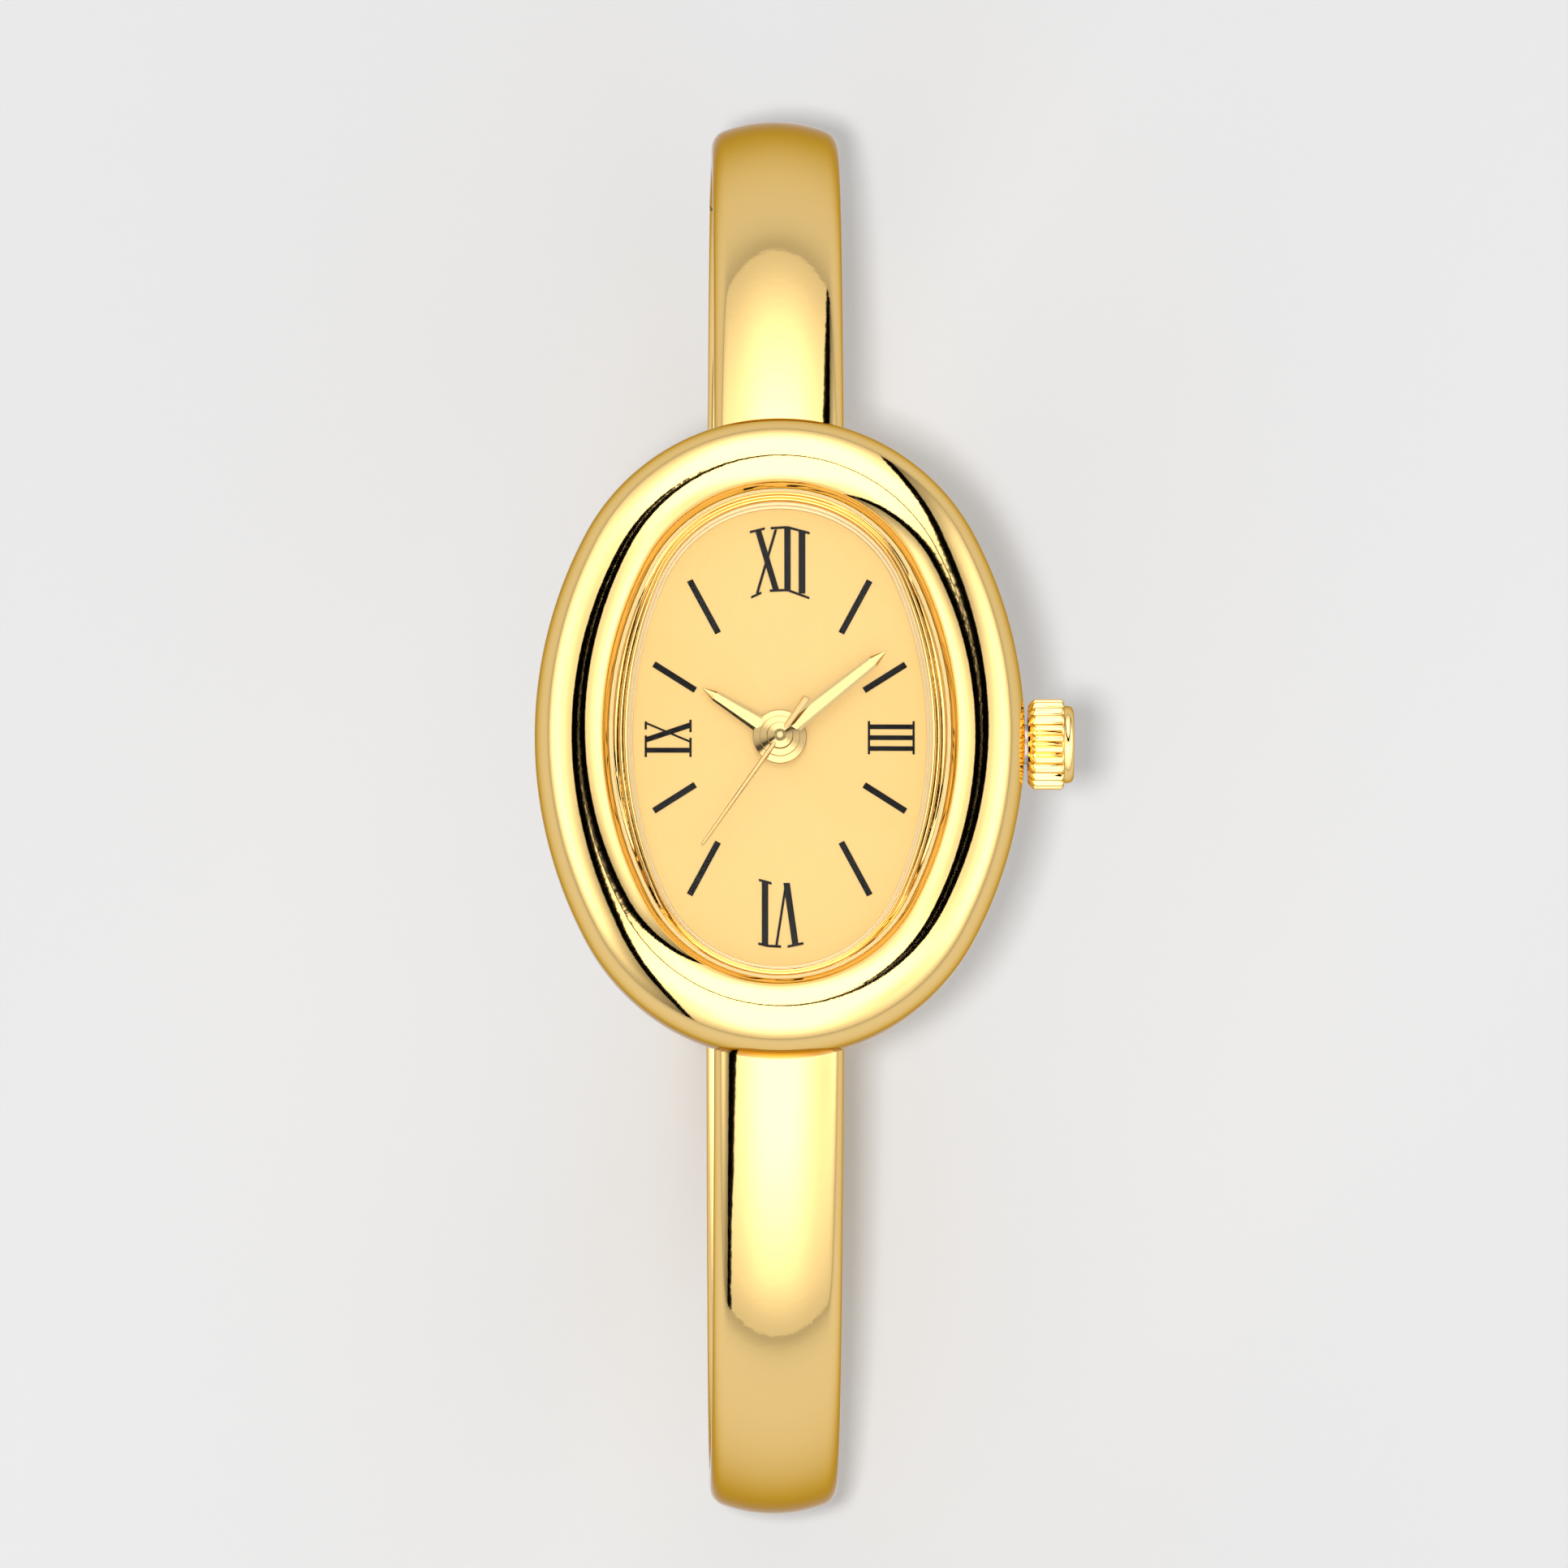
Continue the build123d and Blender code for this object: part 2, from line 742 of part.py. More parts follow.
def hand_outline(length, root, neck, point, tail=0, tail_width=0):
    """A tapering hand with a pointed tip and an optional tail, along +Y."""
    corners = [(neck / 2, length - point), (0, length), (-neck / 2, length - point)]
    if tail:
        corners += [(-root / 2, 0), (-tail_width / 2, -tail), (tail_width / 2, -tail)]
        corners += [(root / 2, 0)]
    else:
        corners += [(-root / 2, 0), (root / 2, 0)]
    return make_face(Polyline(*corners, close=True))


def hands():
    """Hour, minute and second hands on their pipe, cannon and arbor."""
    pipe_radius = cannon_radius + running_gap + hour_pipe_wall
    hour = hand_outline(hour_hand_length, hour_hand_root, hour_hand_neck, hour_hand_point)
    hour = hour + Circle(hour_hand_hub) - Circle(pipe_radius)
    minute = hand_outline(
        minute_hand_length, minute_hand_root, minute_hand_neck, minute_hand_point
    )
    minute = minute + Circle(minute_hand_hub) - Circle(cannon_radius)
    second = hand_outline(
        second_hand_length,
        second_hand_root,
        second_hand_neck,
        second_hand_point,
        second_hand_tail,
        second_hand_tail_width,
    )
    second = second + Circle(second_hand_hub) - Circle(seconds_arbor_radius)
    for node, face, low, thickness, angle in [
        ("hour_hand", hour, hour_hand_z, hand_thickness, hour_hand_angle),
        ("minute_hand", minute, minute_hand_z, hand_thickness, minute_hand_angle),
        ("second_hand", second, second_hand_z, seconds_hand_thickness, second_hand_angle),
    ]:
        save(Rot(0, 0, -angle) * slab(face, low, low + thickness), node)


def holder():
    """Ring that centres the movement in the case and carries the dial."""
    outer = case_oval(cavity_inset + loose_gap)
    shelf = case_oval(plate_inset + plate_shelf)
    ring = slab(outer - shelf, holder_z, plate_z)
    ring += slab(outer - case_oval(plate_inset - fit_gap), plate_z, dial_z)
    notch = stem_block_half_width + holder_notch_gap
    low = stem_z - tube_radius - loose_gap
    ring -= block(
        (plate_half_width - stem_block_length, case_half_width), (-notch, notch), (low, dial_z)
    )
    save(ring, "movement_holder")


def main_plate():
    """Plate with pillars, clamp posts, stem bearing, keyless and motion posts."""
    outline = case_oval(plate_inset) - Circle(centre_hole_radius)
    plate = slab(outline, plate_z, plate_top)
    plate -= block(
        (stem_square_start - fit_gap, stem_block_start),
        (-keyless_slot_half_width, keyless_slot_half_width),
        (plate_z, plate_top),
    )
    plate += block(
        (stem_block_start, stem_block_start + stem_block_length),
        (-stem_block_half_width, stem_block_half_width),
        (plate_z - stem_block_drop, stem_z + stem_block_rise),
    )
    bearing_end = stem_block_start + stem_block_length + overrun
    plate -= rod(stem_radius + running_gap, stem_block_start - overrun, bearing_end, 0, stem_z)
    plate -= rod(
        stem_pilot_radius + running_gap,
        stem_pilot_start - loose_gap,
        stem_square_start + overrun,
        0,
        stem_z,
    )
    for shares in pillar_shares:
        x, y = on_plate(*shares)
        plate += post(x, y, bridge_top, plate_z, pillar_radius)
        plate -= post(x, y, bridge_top, bridge_top + screw_depth, bridge_screw_radius + press_gap)
    for side in (1, -1):
        x = side * clamp_post_x
        plate += post(x, battery_y, battery_z, plate_z, clamp_post_radius)
        hole = clamp_screw_radius + press_gap
        plate -= post(x, battery_y, battery_z, battery_z + screw_depth, hole)
    for shares in dial_foot_shares:
        x, y = on_plate(*shares)
        foot_end = dial_top - dial_foot_length - dial_thickness - fit_gap
        plate -= post(x, y, foot_end, plate_top, dial_foot_radius + running_gap)
    for x, y, radius in [
        (third_x, third_y, arbor_radius),
        (intermediate_x, intermediate_y, arbor_radius),
        (rotor_x, rotor_y, arbor_radius),
    ]:
        plate -= post(x, y, plate_z, plate_z + pivot_depth + fit_gap, radius + running_gap)
    wheel_low = minute_wheel_z
    for x, y, radius, collar_top in [
        (minute_x, minute_y, motion_post_radius, plate_top + motion_collar),
        (setting_x, 0, motion_post_radius, plate_top + motion_collar),
        (lever_x, lever_reach, keyless_post_radius, plate_top + running_gap),
        (yoke_x, -yoke_reach, keyless_post_radius, plate_top + running_gap),
    ]:
        plate += post(x, y, plate_top, collar_top, 2 * radius)
        plate += post(x, y, plate_top, wheel_low + long_pinion, radius)
    save(plate, "main_plate")


def bridge_pieces():
    """Train bridge, its jewels and screws."""
    pillars = [on_plate(*shares) for shares in pillar_shares]
    spots = pillars + [(third_x, third_y), (rotor_x, rotor_y)]
    pads = [edge for x, y in spots for edge in (Pos(x, y) * Circle(bridge_pad_radius)).edges()]
    plate = slab(make_hull(pads), bridge_z, bridge_top)
    for x, y in pillars:
        plate -= post(x, y, bridge_z, bridge_top, bridge_screw_radius + press_gap)
    jewels = []
    for x, y, radius in [
        (0, 0, seconds_arbor_radius),
        (third_x, third_y, arbor_radius),
        (intermediate_x, intermediate_y, arbor_radius),
        (rotor_x, rotor_y, arbor_radius),
    ]:
        hole = radius + running_gap
        plate -= post(x, y, bridge_z, bridge_top, hole)
        plate -= post(x, y, bridge_z, bridge_z + jewel_thickness, jewel_radius + press_gap)
        jewel = post(x, y, bridge_z, bridge_z + jewel_thickness, jewel_radius)
        jewels.append(jewel - post(x, y, bridge_z, bridge_z + jewel_thickness, hole))
    save(plate, "train_bridge")
    save(Compound(children=[s for jewel in jewels for s in jewel.solids()]), "bridge_jewels")
    screws = []
    for x, y in pillars:
        head = post(x, y, bridge_z - bridge_screw_head_height, bridge_z, bridge_screw_head_radius)
        slot = Pos(x, y, bridge_z - bridge_screw_head_height) * Box(
            2 * bridge_screw_head_radius, bridge_screw_radius / 2, bridge_screw_head_height
        )
        shank_top = bridge_top + screw_depth - fit_gap
        screws.append(head + post(x, y, bridge_z, shank_top, bridge_screw_radius) - slot)
    save(Compound(children=[s for screw in screws for s in screw.solids()]), "bridge_screws")


def battery_pieces():
    """Button cell, the clamp over it and the clamp's screws."""
    cell = post(0, battery_y, battery_z + battery_cap_height, plate_z, battery_radius)
    cap_radius = battery_radius - battery_cap_step
    cell += post(0, battery_y, battery_z, battery_z + battery_cap_height, cap_radius)
    save(cell, "battery")
    reach = clamp_post_x + clamp_end
    strip = block(
        (-reach, reach),
        (battery_y - clamp_half_width, battery_y + clamp_half_width),
        (clamp_z, battery_z),
    )
    screws = []
    for side in (1, -1):
        x = side * clamp_post_x
        strip -= post(x, battery_y, clamp_z, battery_z, clamp_screw_radius + press_gap)
        head_z = clamp_z - clamp_screw_head_height
        screw = post(x, battery_y, head_z, clamp_z, clamp_screw_head_radius)
        shank_top = battery_z + screw_depth - fit_gap
        screw += post(x, battery_y, clamp_z, shank_top, clamp_screw_radius)
        screw -= Pos(x, battery_y, head_z) * Box(
            2 * clamp_screw_head_radius, clamp_screw_radius / 2, clamp_screw_head_height
        )
        screws += screw.solids()
    save(strip, "battery_clamp")
    save(Compound(children=screws), "clamp_screws")


def electrical_pieces():
    """Circuit board, chip, quartz can, coil and stator."""
    board_x = board_x_share * plate_half_width
    low_y, high_y = [share * plate_half_length for share in board_y_shares]
    board = slab(case_oval(board_inset), plate_z - board_thickness, plate_z) & block(
        (-case_half_width, board_x), (low_y, high_y), (plate_z - board_thickness, plate_z)
    )
    save(board, "circuit_board")
    chip_x, chip_y = on_plate(*chip_shares)
    board_z = plate_z - board_thickness
    chip = Pos(chip_x, chip_y, board_z - chip_height / 2) * Box(chip_width, chip_length, chip_height)
    save(chip, "timing_chip")
    can_y = quartz_y_share * plate_half_length
    can_z = board_z - quartz_radius - press_gap
    can = Pos(quartz_x, can_y, can_z) * Rot(90, 0, 0) * Cylinder(quartz_radius, quartz_length)
    save(can, "quartz_crystal")
    stator_z = plate_z - stator_thickness
    core_z = stator_z - winding_radius + coil_core_thickness
    core_y = (coil_y - coil_core_half_width, coil_y + coil_core_half_width)
    core = block((-coil_half_span, coil_half_span), core_y, (core_z - coil_core_thickness, core_z))
    for side in (1, -1):
        ends = sorted((side * coil_half_span, side * (coil_half_span - coil_end)))
        core += block(ends, core_y, (core_z - coil_core_thickness, stator_z))
    save(core, "coil_core")
    middle_z = core_z - coil_core_thickness / 2
    winding = rod(winding_radius, -winding_half_length, winding_half_length, coil_y, middle_z)
    winding -= block(
        (-coil_half_span, coil_half_span),
        (core_y[0] - press_gap, core_y[1] + press_gap),
        (core_z - coil_core_thickness - press_gap, core_z + press_gap),
    )
    save(winding, "coil_winding")
    left_bar = (-coil_half_span, rotor_x - stator_bar)
    bar_y = coil_y - winding_radius - loose_gap - stator_bar
    face = Pos(rotor_x, rotor_y) * Circle(stator_ring_radius)
    levels = (stator_z, plate_z)
    stator = slab(face, stator_z, plate_z)
    stator += block(left_bar, (bar_y, bar_y + stator_bar), levels)
    left_leg = (rotor_x - 2 * stator_bar, rotor_x - stator_bar)
    stator += block(left_leg, (rotor_y, bar_y + stator_bar), levels)
    stator += block((-coil_half_span, coil_end - coil_half_span), (bar_y, core_y[1]), levels)
    stator += block((coil_half_span - coil_end, coil_half_span), (rotor_y, core_y[1]), levels)
    stator -= post(rotor_x, rotor_y, stator_z, plate_z, stator_bore_radius)
    save(stator, "stator")


def going_train():
    """Seconds, third, centre and intermediate wheels, and the motor's rotor."""
    low = bridge_z + fit_gap / 2
    pivot_top = plate_z + pivot_depth
    seconds_top = seconds_wheel_z + wheel_thickness
    leaves_z = seconds_top + pinion_lift
    seconds = gear(seconds_teeth, seconds_module, 0, 0, seconds_wheel_z, seconds_top)
    seconds += gear(seconds_pinion_leaves, third_module, 0, 0, leaves_z, leaves_z + short_pinion)
    seconds += post(0, 0, low, arbor_top, seconds_arbor_radius)
    seconds += post(0, 0, seconds_top, leaves_z, 2 * seconds_arbor_radius)
    save(seconds, "seconds_wheel")

    third_turn = meshed_turn(0, seconds_pinion_leaves, third_teeth, third_bearing)
    third_top = third_wheel_z + wheel_thickness
    third = gear(third_teeth, third_module, third_x, third_y, third_wheel_z, third_top, third_turn)
    leaves_top = upper_train_z + long_pinion
    third += gear(
        third_pinion_leaves, centre_module, third_x, third_y, upper_train_z, leaves_top
    )
    third += post(third_x, third_y, low, pivot_top, arbor_radius)
    third += post(third_x, third_y, third_top, upper_train_z, 2 * arbor_radius)
    save(third, "third_wheel")

    turn = meshed_turn(0, third_pinion_leaves, centre_teeth, third_bearing + 180)
    centre_top = centre_wheel_z + wheel_thickness
    centre = gear(centre_teeth, centre_module, 0, 0, centre_wheel_z, centre_top, turn)
    centre += post(0, 0, centre_top, plate_z - fit_gap, centre_hub_radius)
    bore = cannon_radius + running_gap
    centre -= post(0, 0, centre_wheel_z, plate_z, bore)
    save(centre, "centre_wheel")

    x, y = intermediate_x, intermediate_y
    leaves_z = bridge_top + running_gap
    turn = meshed_turn(0, seconds_teeth, intermediate_pinion_leaves, intermediate_bearing)
    wheel = gear(
        intermediate_pinion_leaves, seconds_module, x, y, leaves_z, leaves_z + short_pinion, turn
    )
    wheel += gear(intermediate_teeth, rotor_module, x, y, intermediate_wheel_z, upper_train_z)
    wheel += post(x, y, low, pivot_top, arbor_radius)
    wheel += post(x, y, leaves_z + short_pinion, intermediate_wheel_z, 2 * arbor_radius)
    save(wheel, "intermediate_wheel")

    turn = meshed_turn(0, intermediate_teeth, rotor_pinion_leaves, rotor_bearing)
    leaves_z = intermediate_wheel_z - pinion_lift
    magnet_z = centre_wheel_z
    pinion = gear(rotor_pinion_leaves, rotor_module, rotor_x, rotor_y, leaves_z, magnet_z, turn)
    pinion += post(rotor_x, rotor_y, low, pivot_top, arbor_radius)
    save(pinion, "rotor_pinion")
    magnet = post(rotor_x, rotor_y, magnet_z, magnet_z + rotor_magnet_height, rotor_magnet_radius)
    magnet -= post(rotor_x, rotor_y, magnet_z, plate_z, arbor_radius + press_gap)
    save(magnet, "rotor_magnet")


def motion_works():
    """Cannon pinion, minute, hour and setting wheels, and the dial washer."""
    bore = cannon_radius - cannon_wall
    leaves_z = plate_top + fit_gap
    minute_hand_top = minute_hand_z + hand_thickness
    cannon = post(0, 0, upper_train_z, minute_hand_top, cannon_radius)
    flange_top = centre_wheel_z - running_gap
    cannon += post(0, 0, upper_train_z, flange_top, cannon_flange_radius)
    cannon += gear(cannon_leaves, motion_module, 0, 0, leaves_z, leaves_z + short_pinion)
    cannon -= post(0, 0, upper_train_z, minute_hand_top, bore)
    save(cannon, "cannon_pinion")

    turn = meshed_turn(0, cannon_leaves, minute_wheel_teeth, minute_bearing)
    low = minute_wheel_z
    high = low + motion_wheel_thickness
    place = (minute_x, minute_y)
    minute = gear(minute_wheel_teeth, motion_module, *place, low, high, turn)
    minute += gear(minute_pinion_leaves, motion_module, *place, high, low + long_pinion)
    hole = motion_post_radius + running_gap
    save(minute - post(*place, low, low + long_pinion, hole), "minute_wheel")

    hour_turn = meshed_turn(0, minute_pinion_leaves, hour_wheel_teeth, minute_bearing + 180)
    pipe = cannon_radius + running_gap
    hour = gear(hour_wheel_teeth, motion_module, 0, 0, hour_wheel_z, hour_wheel_top, hour_turn)
    hour += post(0, 0, hour_wheel_top, hour_hand_z + hand_thickness, pipe + hour_pipe_wall)
    save(hour - post(0, 0, hour_wheel_z, hour_hand_z + hand_thickness, pipe), "hour_wheel")

    bearing = math.degrees(math.atan2(-minute_y, setting_x - minute_x))
    setting_turn = meshed_turn(turn, minute_wheel_teeth, setting_wheel_teeth, bearing)
    top = low + 2 * motion_wheel_thickness
    setting = gear(setting_wheel_teeth, motion_module, setting_x, 0, low, top, setting_turn)
    save(setting - post(setting_x, 0, low, top, hole), "setting_wheel")

    washer_bore = pipe + hour_pipe_wall + fit_gap
    washer = Circle(washer_bore + washer_width) - Circle(washer_bore)
    save(slab(washer, hour_wheel_top + running_gap, dial_z), "dial_washer")


def crown_pieces():
    """Fluted crown with its cap, the gasket inside it, the tube and the stem."""
    start = case_half_width + crown_gap
    grip_end = start + crown_grip_length
    cap_end = grip_end + crown_cap_length
    root = crown_radius - crown_flute_depth
    step = 360 / crown_flutes
    corners = []
    for flute in range(crown_flutes):
        for radius, share in [
            (root, -flute_root_share),
            (crown_radius, -flute_tip_share),
            (crown_radius, flute_tip_share),
            (root, flute_root_share),
        ]:
            angle = math.radians((flute + share) * step)
            corners.append((radius * math.cos(angle), radius * math.sin(angle)))
    ridges = Plane.YZ * make_face(Polyline(*corners, close=True))
    grip = Pos(start, 0, stem_z) * extrude(ridges, crown_grip_length)
    envelope = rod(crown_radius, start, grip_end, 0, stem_z)
    crown = grip & chamfer(envelope.edges().filter_by(GeomType.CIRCLE), crown_chamfer)
    cap = rod(crown_cap_radius, grip_end, cap_end, 0, stem_z)
    crown += fillet(cap.faces().sort_by(Axis.X)[-1].edges(), crown_cap_round)
    crown -= rod(crown_recess_radius, start, start + crown_recess_depth, 0, stem_z)
    crown -= rod(stem_radius + press_gap, start, stem_outer_end, 0, stem_z)
    save(crown, "crown")

    seal_start = start + crown_gasket_start
    seal_end = seal_start + crown_gasket_length
    seal = rod(crown_recess_radius - running_gap, seal_start, seal_end, 0, stem_z)
    save(seal - rod(tube_radius + running_gap, seal_start, seal_end, 0, stem_z), "crown_gasket")
    tube_end = tube_inner_end + tube_length
    tube = rod(tube_radius, tube_inner_end, tube_end, 0, stem_z)
    save(tube - rod(tube_bore_radius, tube_inner_end, tube_end, 0, stem_z), "crown_tube")

    groove_end = stem_groove_start + stem_groove_width
    stem = rod(stem_pilot_radius, stem_pilot_start, stem_square_start, 0, stem_z)
    middle = (stem_square_start + stem_shoulder) / 2
    square_length = stem_shoulder - stem_square_start
    stem += Pos(middle, 0, stem_z) * Box(square_length, stem_square, stem_square)
    stem += rod(stem_radius, stem_shoulder, stem_groove_start, 0, stem_z)
    stem += rod(stem_groove_radius, stem_groove_start, groove_end, 0, stem_z)
    stem += rod(stem_radius, groove_end, stem_outer_end, 0, stem_z)
    save(stem, "stem")


def keyless_pieces():
    """Sliding pinion on the stem's square, setting lever and yoke."""
    clutch_end = clutch_start + clutch_length
    clutch = rod(clutch_radius, clutch_start, clutch_end, 0, stem_z)
    groove_start = clutch_start + clutch_groove_start
    groove_end = groove_start + clutch_groove_width
    neck = rod(clutch_radius, groove_start, groove_end, 0, stem_z)
    clutch -= neck - rod(clutch_groove_radius, groove_start, groove_end, 0, stem_z)
    bore = stem_square + 2 * running_gap
    clutch -= Pos((clutch_start + clutch_end) / 2, 0, stem_z) * Box(clutch_length, bore, bore)
    cut = Box(2 * clutch_tooth_depth, clutch_tooth_gap, 2 * clutch_radius)
    for tooth in range(clutch_teeth):
        turned = Rot(tooth * 360 / clutch_teeth, 0, 0) * Pos(0, 0, clutch_radius) * cut
        clutch -= Pos(clutch_start, 0, stem_z) * turned
    save(clutch, "sliding_pinion")

    pin_x = stem_groove_start + stem_groove_width / 2
    lever_z = plate_top + lever_lift
    lever_top = lever_z + lever_thickness
    hub_z = plate_top + 2 * running_gap
    ends = [
        (lever_x, lever_reach, keyless_hub_radius),
        (pin_x, 0, lever_head_radius),
    ]
    rounds = [edge for x, y, r in ends for edge in (Pos(x, y) * Circle(r)).edges()]
    lever = slab(make_hull(rounds), lever_z, lever_top)
    lever += post(lever_x, lever_reach, hub_z, lever_top, keyless_hub_radius)
    lever += post(pin_x, 0, stem_z + stem_groove_radius + running_gap, lever_z, lever_pin_radius)
    hole = keyless_post_radius + running_gap
    save(lever - post(lever_x, lever_reach, hub_z, lever_top, hole), "setting_lever")

    yoke_z = plate_top + yoke_lift
    yoke_top = yoke_z + yoke_thickness
    finger = stroke(yoke_x, -yoke_reach, groove_x, yoke_overreach, yoke_finger)
    yoke = slab(finger, yoke_z, yoke_top)
    yoke += post(yoke_x, -yoke_reach, hub_z, yoke_top, keyless_hub_radius)
    save(yoke - post(yoke_x, -yoke_reach, hub_z, yoke_top, hole), "yoke")


def bangle_pieces():
    """Two fixed arms pinned to the case, and the rear arm hinged to the upper one."""
    root_angle = math.degrees(math.asin(arm_root_y / (ring_flat_radius - bangle_thickness)))
    hinge_angle = 90 + seam_drop_angle
    clasp_angle = 270 - seam_drop_angle
    mid_radius = bangle_end_radius - bangle_thickness / 2
    half_gap = math.degrees(seam_gap / 2 / mid_radius)
    overlap = math.degrees(hinge_relief_radius / mid_radius)
    hinge_y, hinge_z = seam_centre(1)
    half_width = bangle_width / 2 + overrun
    around_hinge = band(hinge_angle - overlap, hinge_angle + overlap)
    centre_reach = knuckle_half_width + knuckle_gap
    low, high = lug_pin_levels()
    lug_z = (low + high) / 2
    lug_reach = bangle_width / 2 + overrun

    upper = band(root_angle, hinge_angle)
    for side in (1, -1):
        ends = sorted((side * centre_reach, side * half_width))
        upper += rod(knuckle_radius, *ends, hinge_y, hinge_z) & around_hinge
    upper -= rod(hinge_relief_radius, -centre_reach, centre_reach, hinge_y, hinge_z)
    pin_end = hinge_pin_half_length + press_gap
    upper -= rod(hinge_pin_radius + press_gap, -pin_end, pin_end, hinge_y, hinge_z)
    upper -= rod(lug_pin_radius + press_gap, -lug_reach, lug_reach, lug_pin_y, lug_z)
    save(upper, "upper_arm")

    rear = band(hinge_angle, clasp_angle - half_gap)
    for side in (1, -1):
        ends = sorted((side * knuckle_half_width, side * half_width))
        rear -= rod(hinge_relief_radius, *ends, hinge_y, hinge_z)
    knuckle = rod(knuckle_radius, -knuckle_half_width, knuckle_half_width, hinge_y, hinge_z)
    rear += knuckle & around_hinge
    rear -= rod(hinge_pin_radius + running_gap, -half_width, half_width, hinge_y, hinge_z)

    clasp_y, clasp_z = seam_centre(-1)
    tongue_y = (
        clasp_y - tongue_offset - tongue_thickness / 2,
        clasp_y - tongue_offset + tongue_thickness / 2,
    )

    def in_clasp(x_ends, heights, grow=0):
        """A box in the clasp, its heights measured up from the seam."""
        y_ends = (tongue_y[0] - grow, tongue_y[1] + grow)
        return block(x_ends, y_ends, (clasp_z + heights[0], clasp_z + heights[1]))

    socket_half = tongue_half_width + press_gap
    rear -= in_clasp((-socket_half, socket_half), (-tongue_root - press_gap, overrun), press_gap)
    save(rear, "rear_arm")

    tongue = in_clasp((-tongue_half_width, tongue_half_width), (-tongue_root, tongue_height))
    notch_heights = (notch_height, notch_height + notch_size)
    notch = in_clasp(
        (-tongue_half_width - overrun, notch_depth - tongue_half_width), notch_heights, fit_gap
    )
    save(tongue - notch, "clasp_tongue")

    arm_x = (
        -tongue_half_width - latch_arm_gap - latch_arm_width,
        -tongue_half_width - latch_arm_gap,
    )
    bar_low = tongue_height + latch_bar_gap
    bar_high = bar_low + latch_bar_height
    button_heights = (bar_low + clasp_clearance, bar_low + clasp_clearance + button_height)
    cavity_end = arm_x[0] - button_travel - clasp_clearance
    lower = band(clasp_angle + half_gap, 360 - root_angle)
    socket_half = tongue_half_width + clasp_clearance
    lower -= in_clasp((-socket_half, socket_half), (-overrun, bar_low), clasp_clearance)
    lower -= in_clasp(
        (cavity_end, -tongue_half_width), (notch_height - clasp_clearance, bar_low), clasp_clearance
    )
    lower -= in_clasp(
        (cavity_end, latch_bar_end + fit_gap),
        (bar_low - clasp_clearance, bar_high + clasp_clearance),
        clasp_clearance,
    )
    hole_heights = (button_heights[0] - fit_gap, button_heights[1] + fit_gap)
    lower -= in_clasp((latch_bar_end, half_width), hole_heights)
    lower -= rod(lug_pin_radius + press_gap, -lug_reach, lug_reach, -lug_pin_y, lug_z)
    save(lower, "lower_arm")

    button = in_clasp((arm_x[0], latch_bar_end), (bar_low, bar_high))
    button += in_clasp(arm_x, (notch_height, bar_low))
    button += in_clasp((latch_bar_end, button_end_x), button_heights, -fit_gap)
    nose_z = clasp_z + notch_height + notch_size / 2
    nose_half = latch_nose_height / 2
    nose_face = make_face(
        Polyline(
            (arm_x[1], nose_z - nose_half),
            (-tongue_half_width, nose_z - nose_half),
            (latch_nose_reach - tongue_half_width, nose_z),
            (-tongue_half_width, nose_z + nose_half),
            (arm_x[1], nose_z + nose_half),
            close=True,
        )
    )
    nose = extrude(Plane.XZ * nose_face, latch_nose_width / 2, both=True)
    button += Pos(0, (tongue_y[0] + tongue_y[1]) / 2, 0) * nose
    save(button, "clasp_button")

    reach = hinge_pin_half_length
    save(rod(hinge_pin_radius, -reach, reach, hinge_y, hinge_z), "hinge_pin")
    pins = []
    for side in (1, -1):
        pin = rod(
            lug_pin_radius, -lug_pin_half_length, lug_pin_half_length, side * lug_pin_y, lug_z
        )
        pins += pin.solids()
    save(Compound(children=pins), "lug_pins")


os.makedirs("parts", exist_ok=True)
save(case_shell(), "case_shell")
back_pieces()
crystal_pieces()
dial_pieces()
hour_markers()
hands()
holder()
main_plate()
bridge_pieces()
battery_pieces()
electrical_pieces()
going_train()
motion_works()
crown_pieces()
keyless_pieces()
bangle_pieces()

print("seam centres (y, z):", seam_centre(1), seam_centre(-1))
print("stem level:", stem_z)
print("lever pivot:", (lever_x, lever_reach), "yoke pivot:", (yoke_x, -yoke_reach))
print("third:", (third_x, third_y), "intermediate:", (intermediate_x, intermediate_y))
print("rotor:", (rotor_x, rotor_y), "minute wheel:", (minute_x, minute_y))
print("setting wheel:", (setting_x, 0))
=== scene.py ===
import json
import math

import bpy
import numpy as np
from mathutils import Matrix


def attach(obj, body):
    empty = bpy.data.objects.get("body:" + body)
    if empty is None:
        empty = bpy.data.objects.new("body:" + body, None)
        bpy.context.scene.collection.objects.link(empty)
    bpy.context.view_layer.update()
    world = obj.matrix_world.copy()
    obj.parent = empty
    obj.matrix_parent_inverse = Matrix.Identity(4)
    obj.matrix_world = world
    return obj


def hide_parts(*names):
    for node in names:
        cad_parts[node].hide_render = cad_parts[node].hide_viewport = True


MM = 0.001

# Camera, looking down on the dial and tilted a little towards six o'clock
CAMERA_ELEVATION = 82.1
CAMERA_SWING = -0.6
CAMERA_DISTANCE = 900.0
CAMERA_LENS = 517.0
AIM_LEVEL = 5.2
AIM_RIGHT = 0.26
AIM_DOWN = 1.90
SENSOR_WIDTH = 36.0
FAR_CLIP = 20.0

# Clearances, and how far a cut runs over
PRESS_GAP = 0.01
RUNNING_GAP = 0.03
FIT = 0.05
CLEARANCE = 0.1
OVERRUN = 1.0

# Fineness of the meshes
SMOOTH_ANGLE = 35.0
CAD_SMOOTH_ANGLE = 30.0
AXIS_RADIUS = 0.0001
SAME_PLACE = 0.0001
ROD_STEPS = 64
TURNED_STEPS = 96

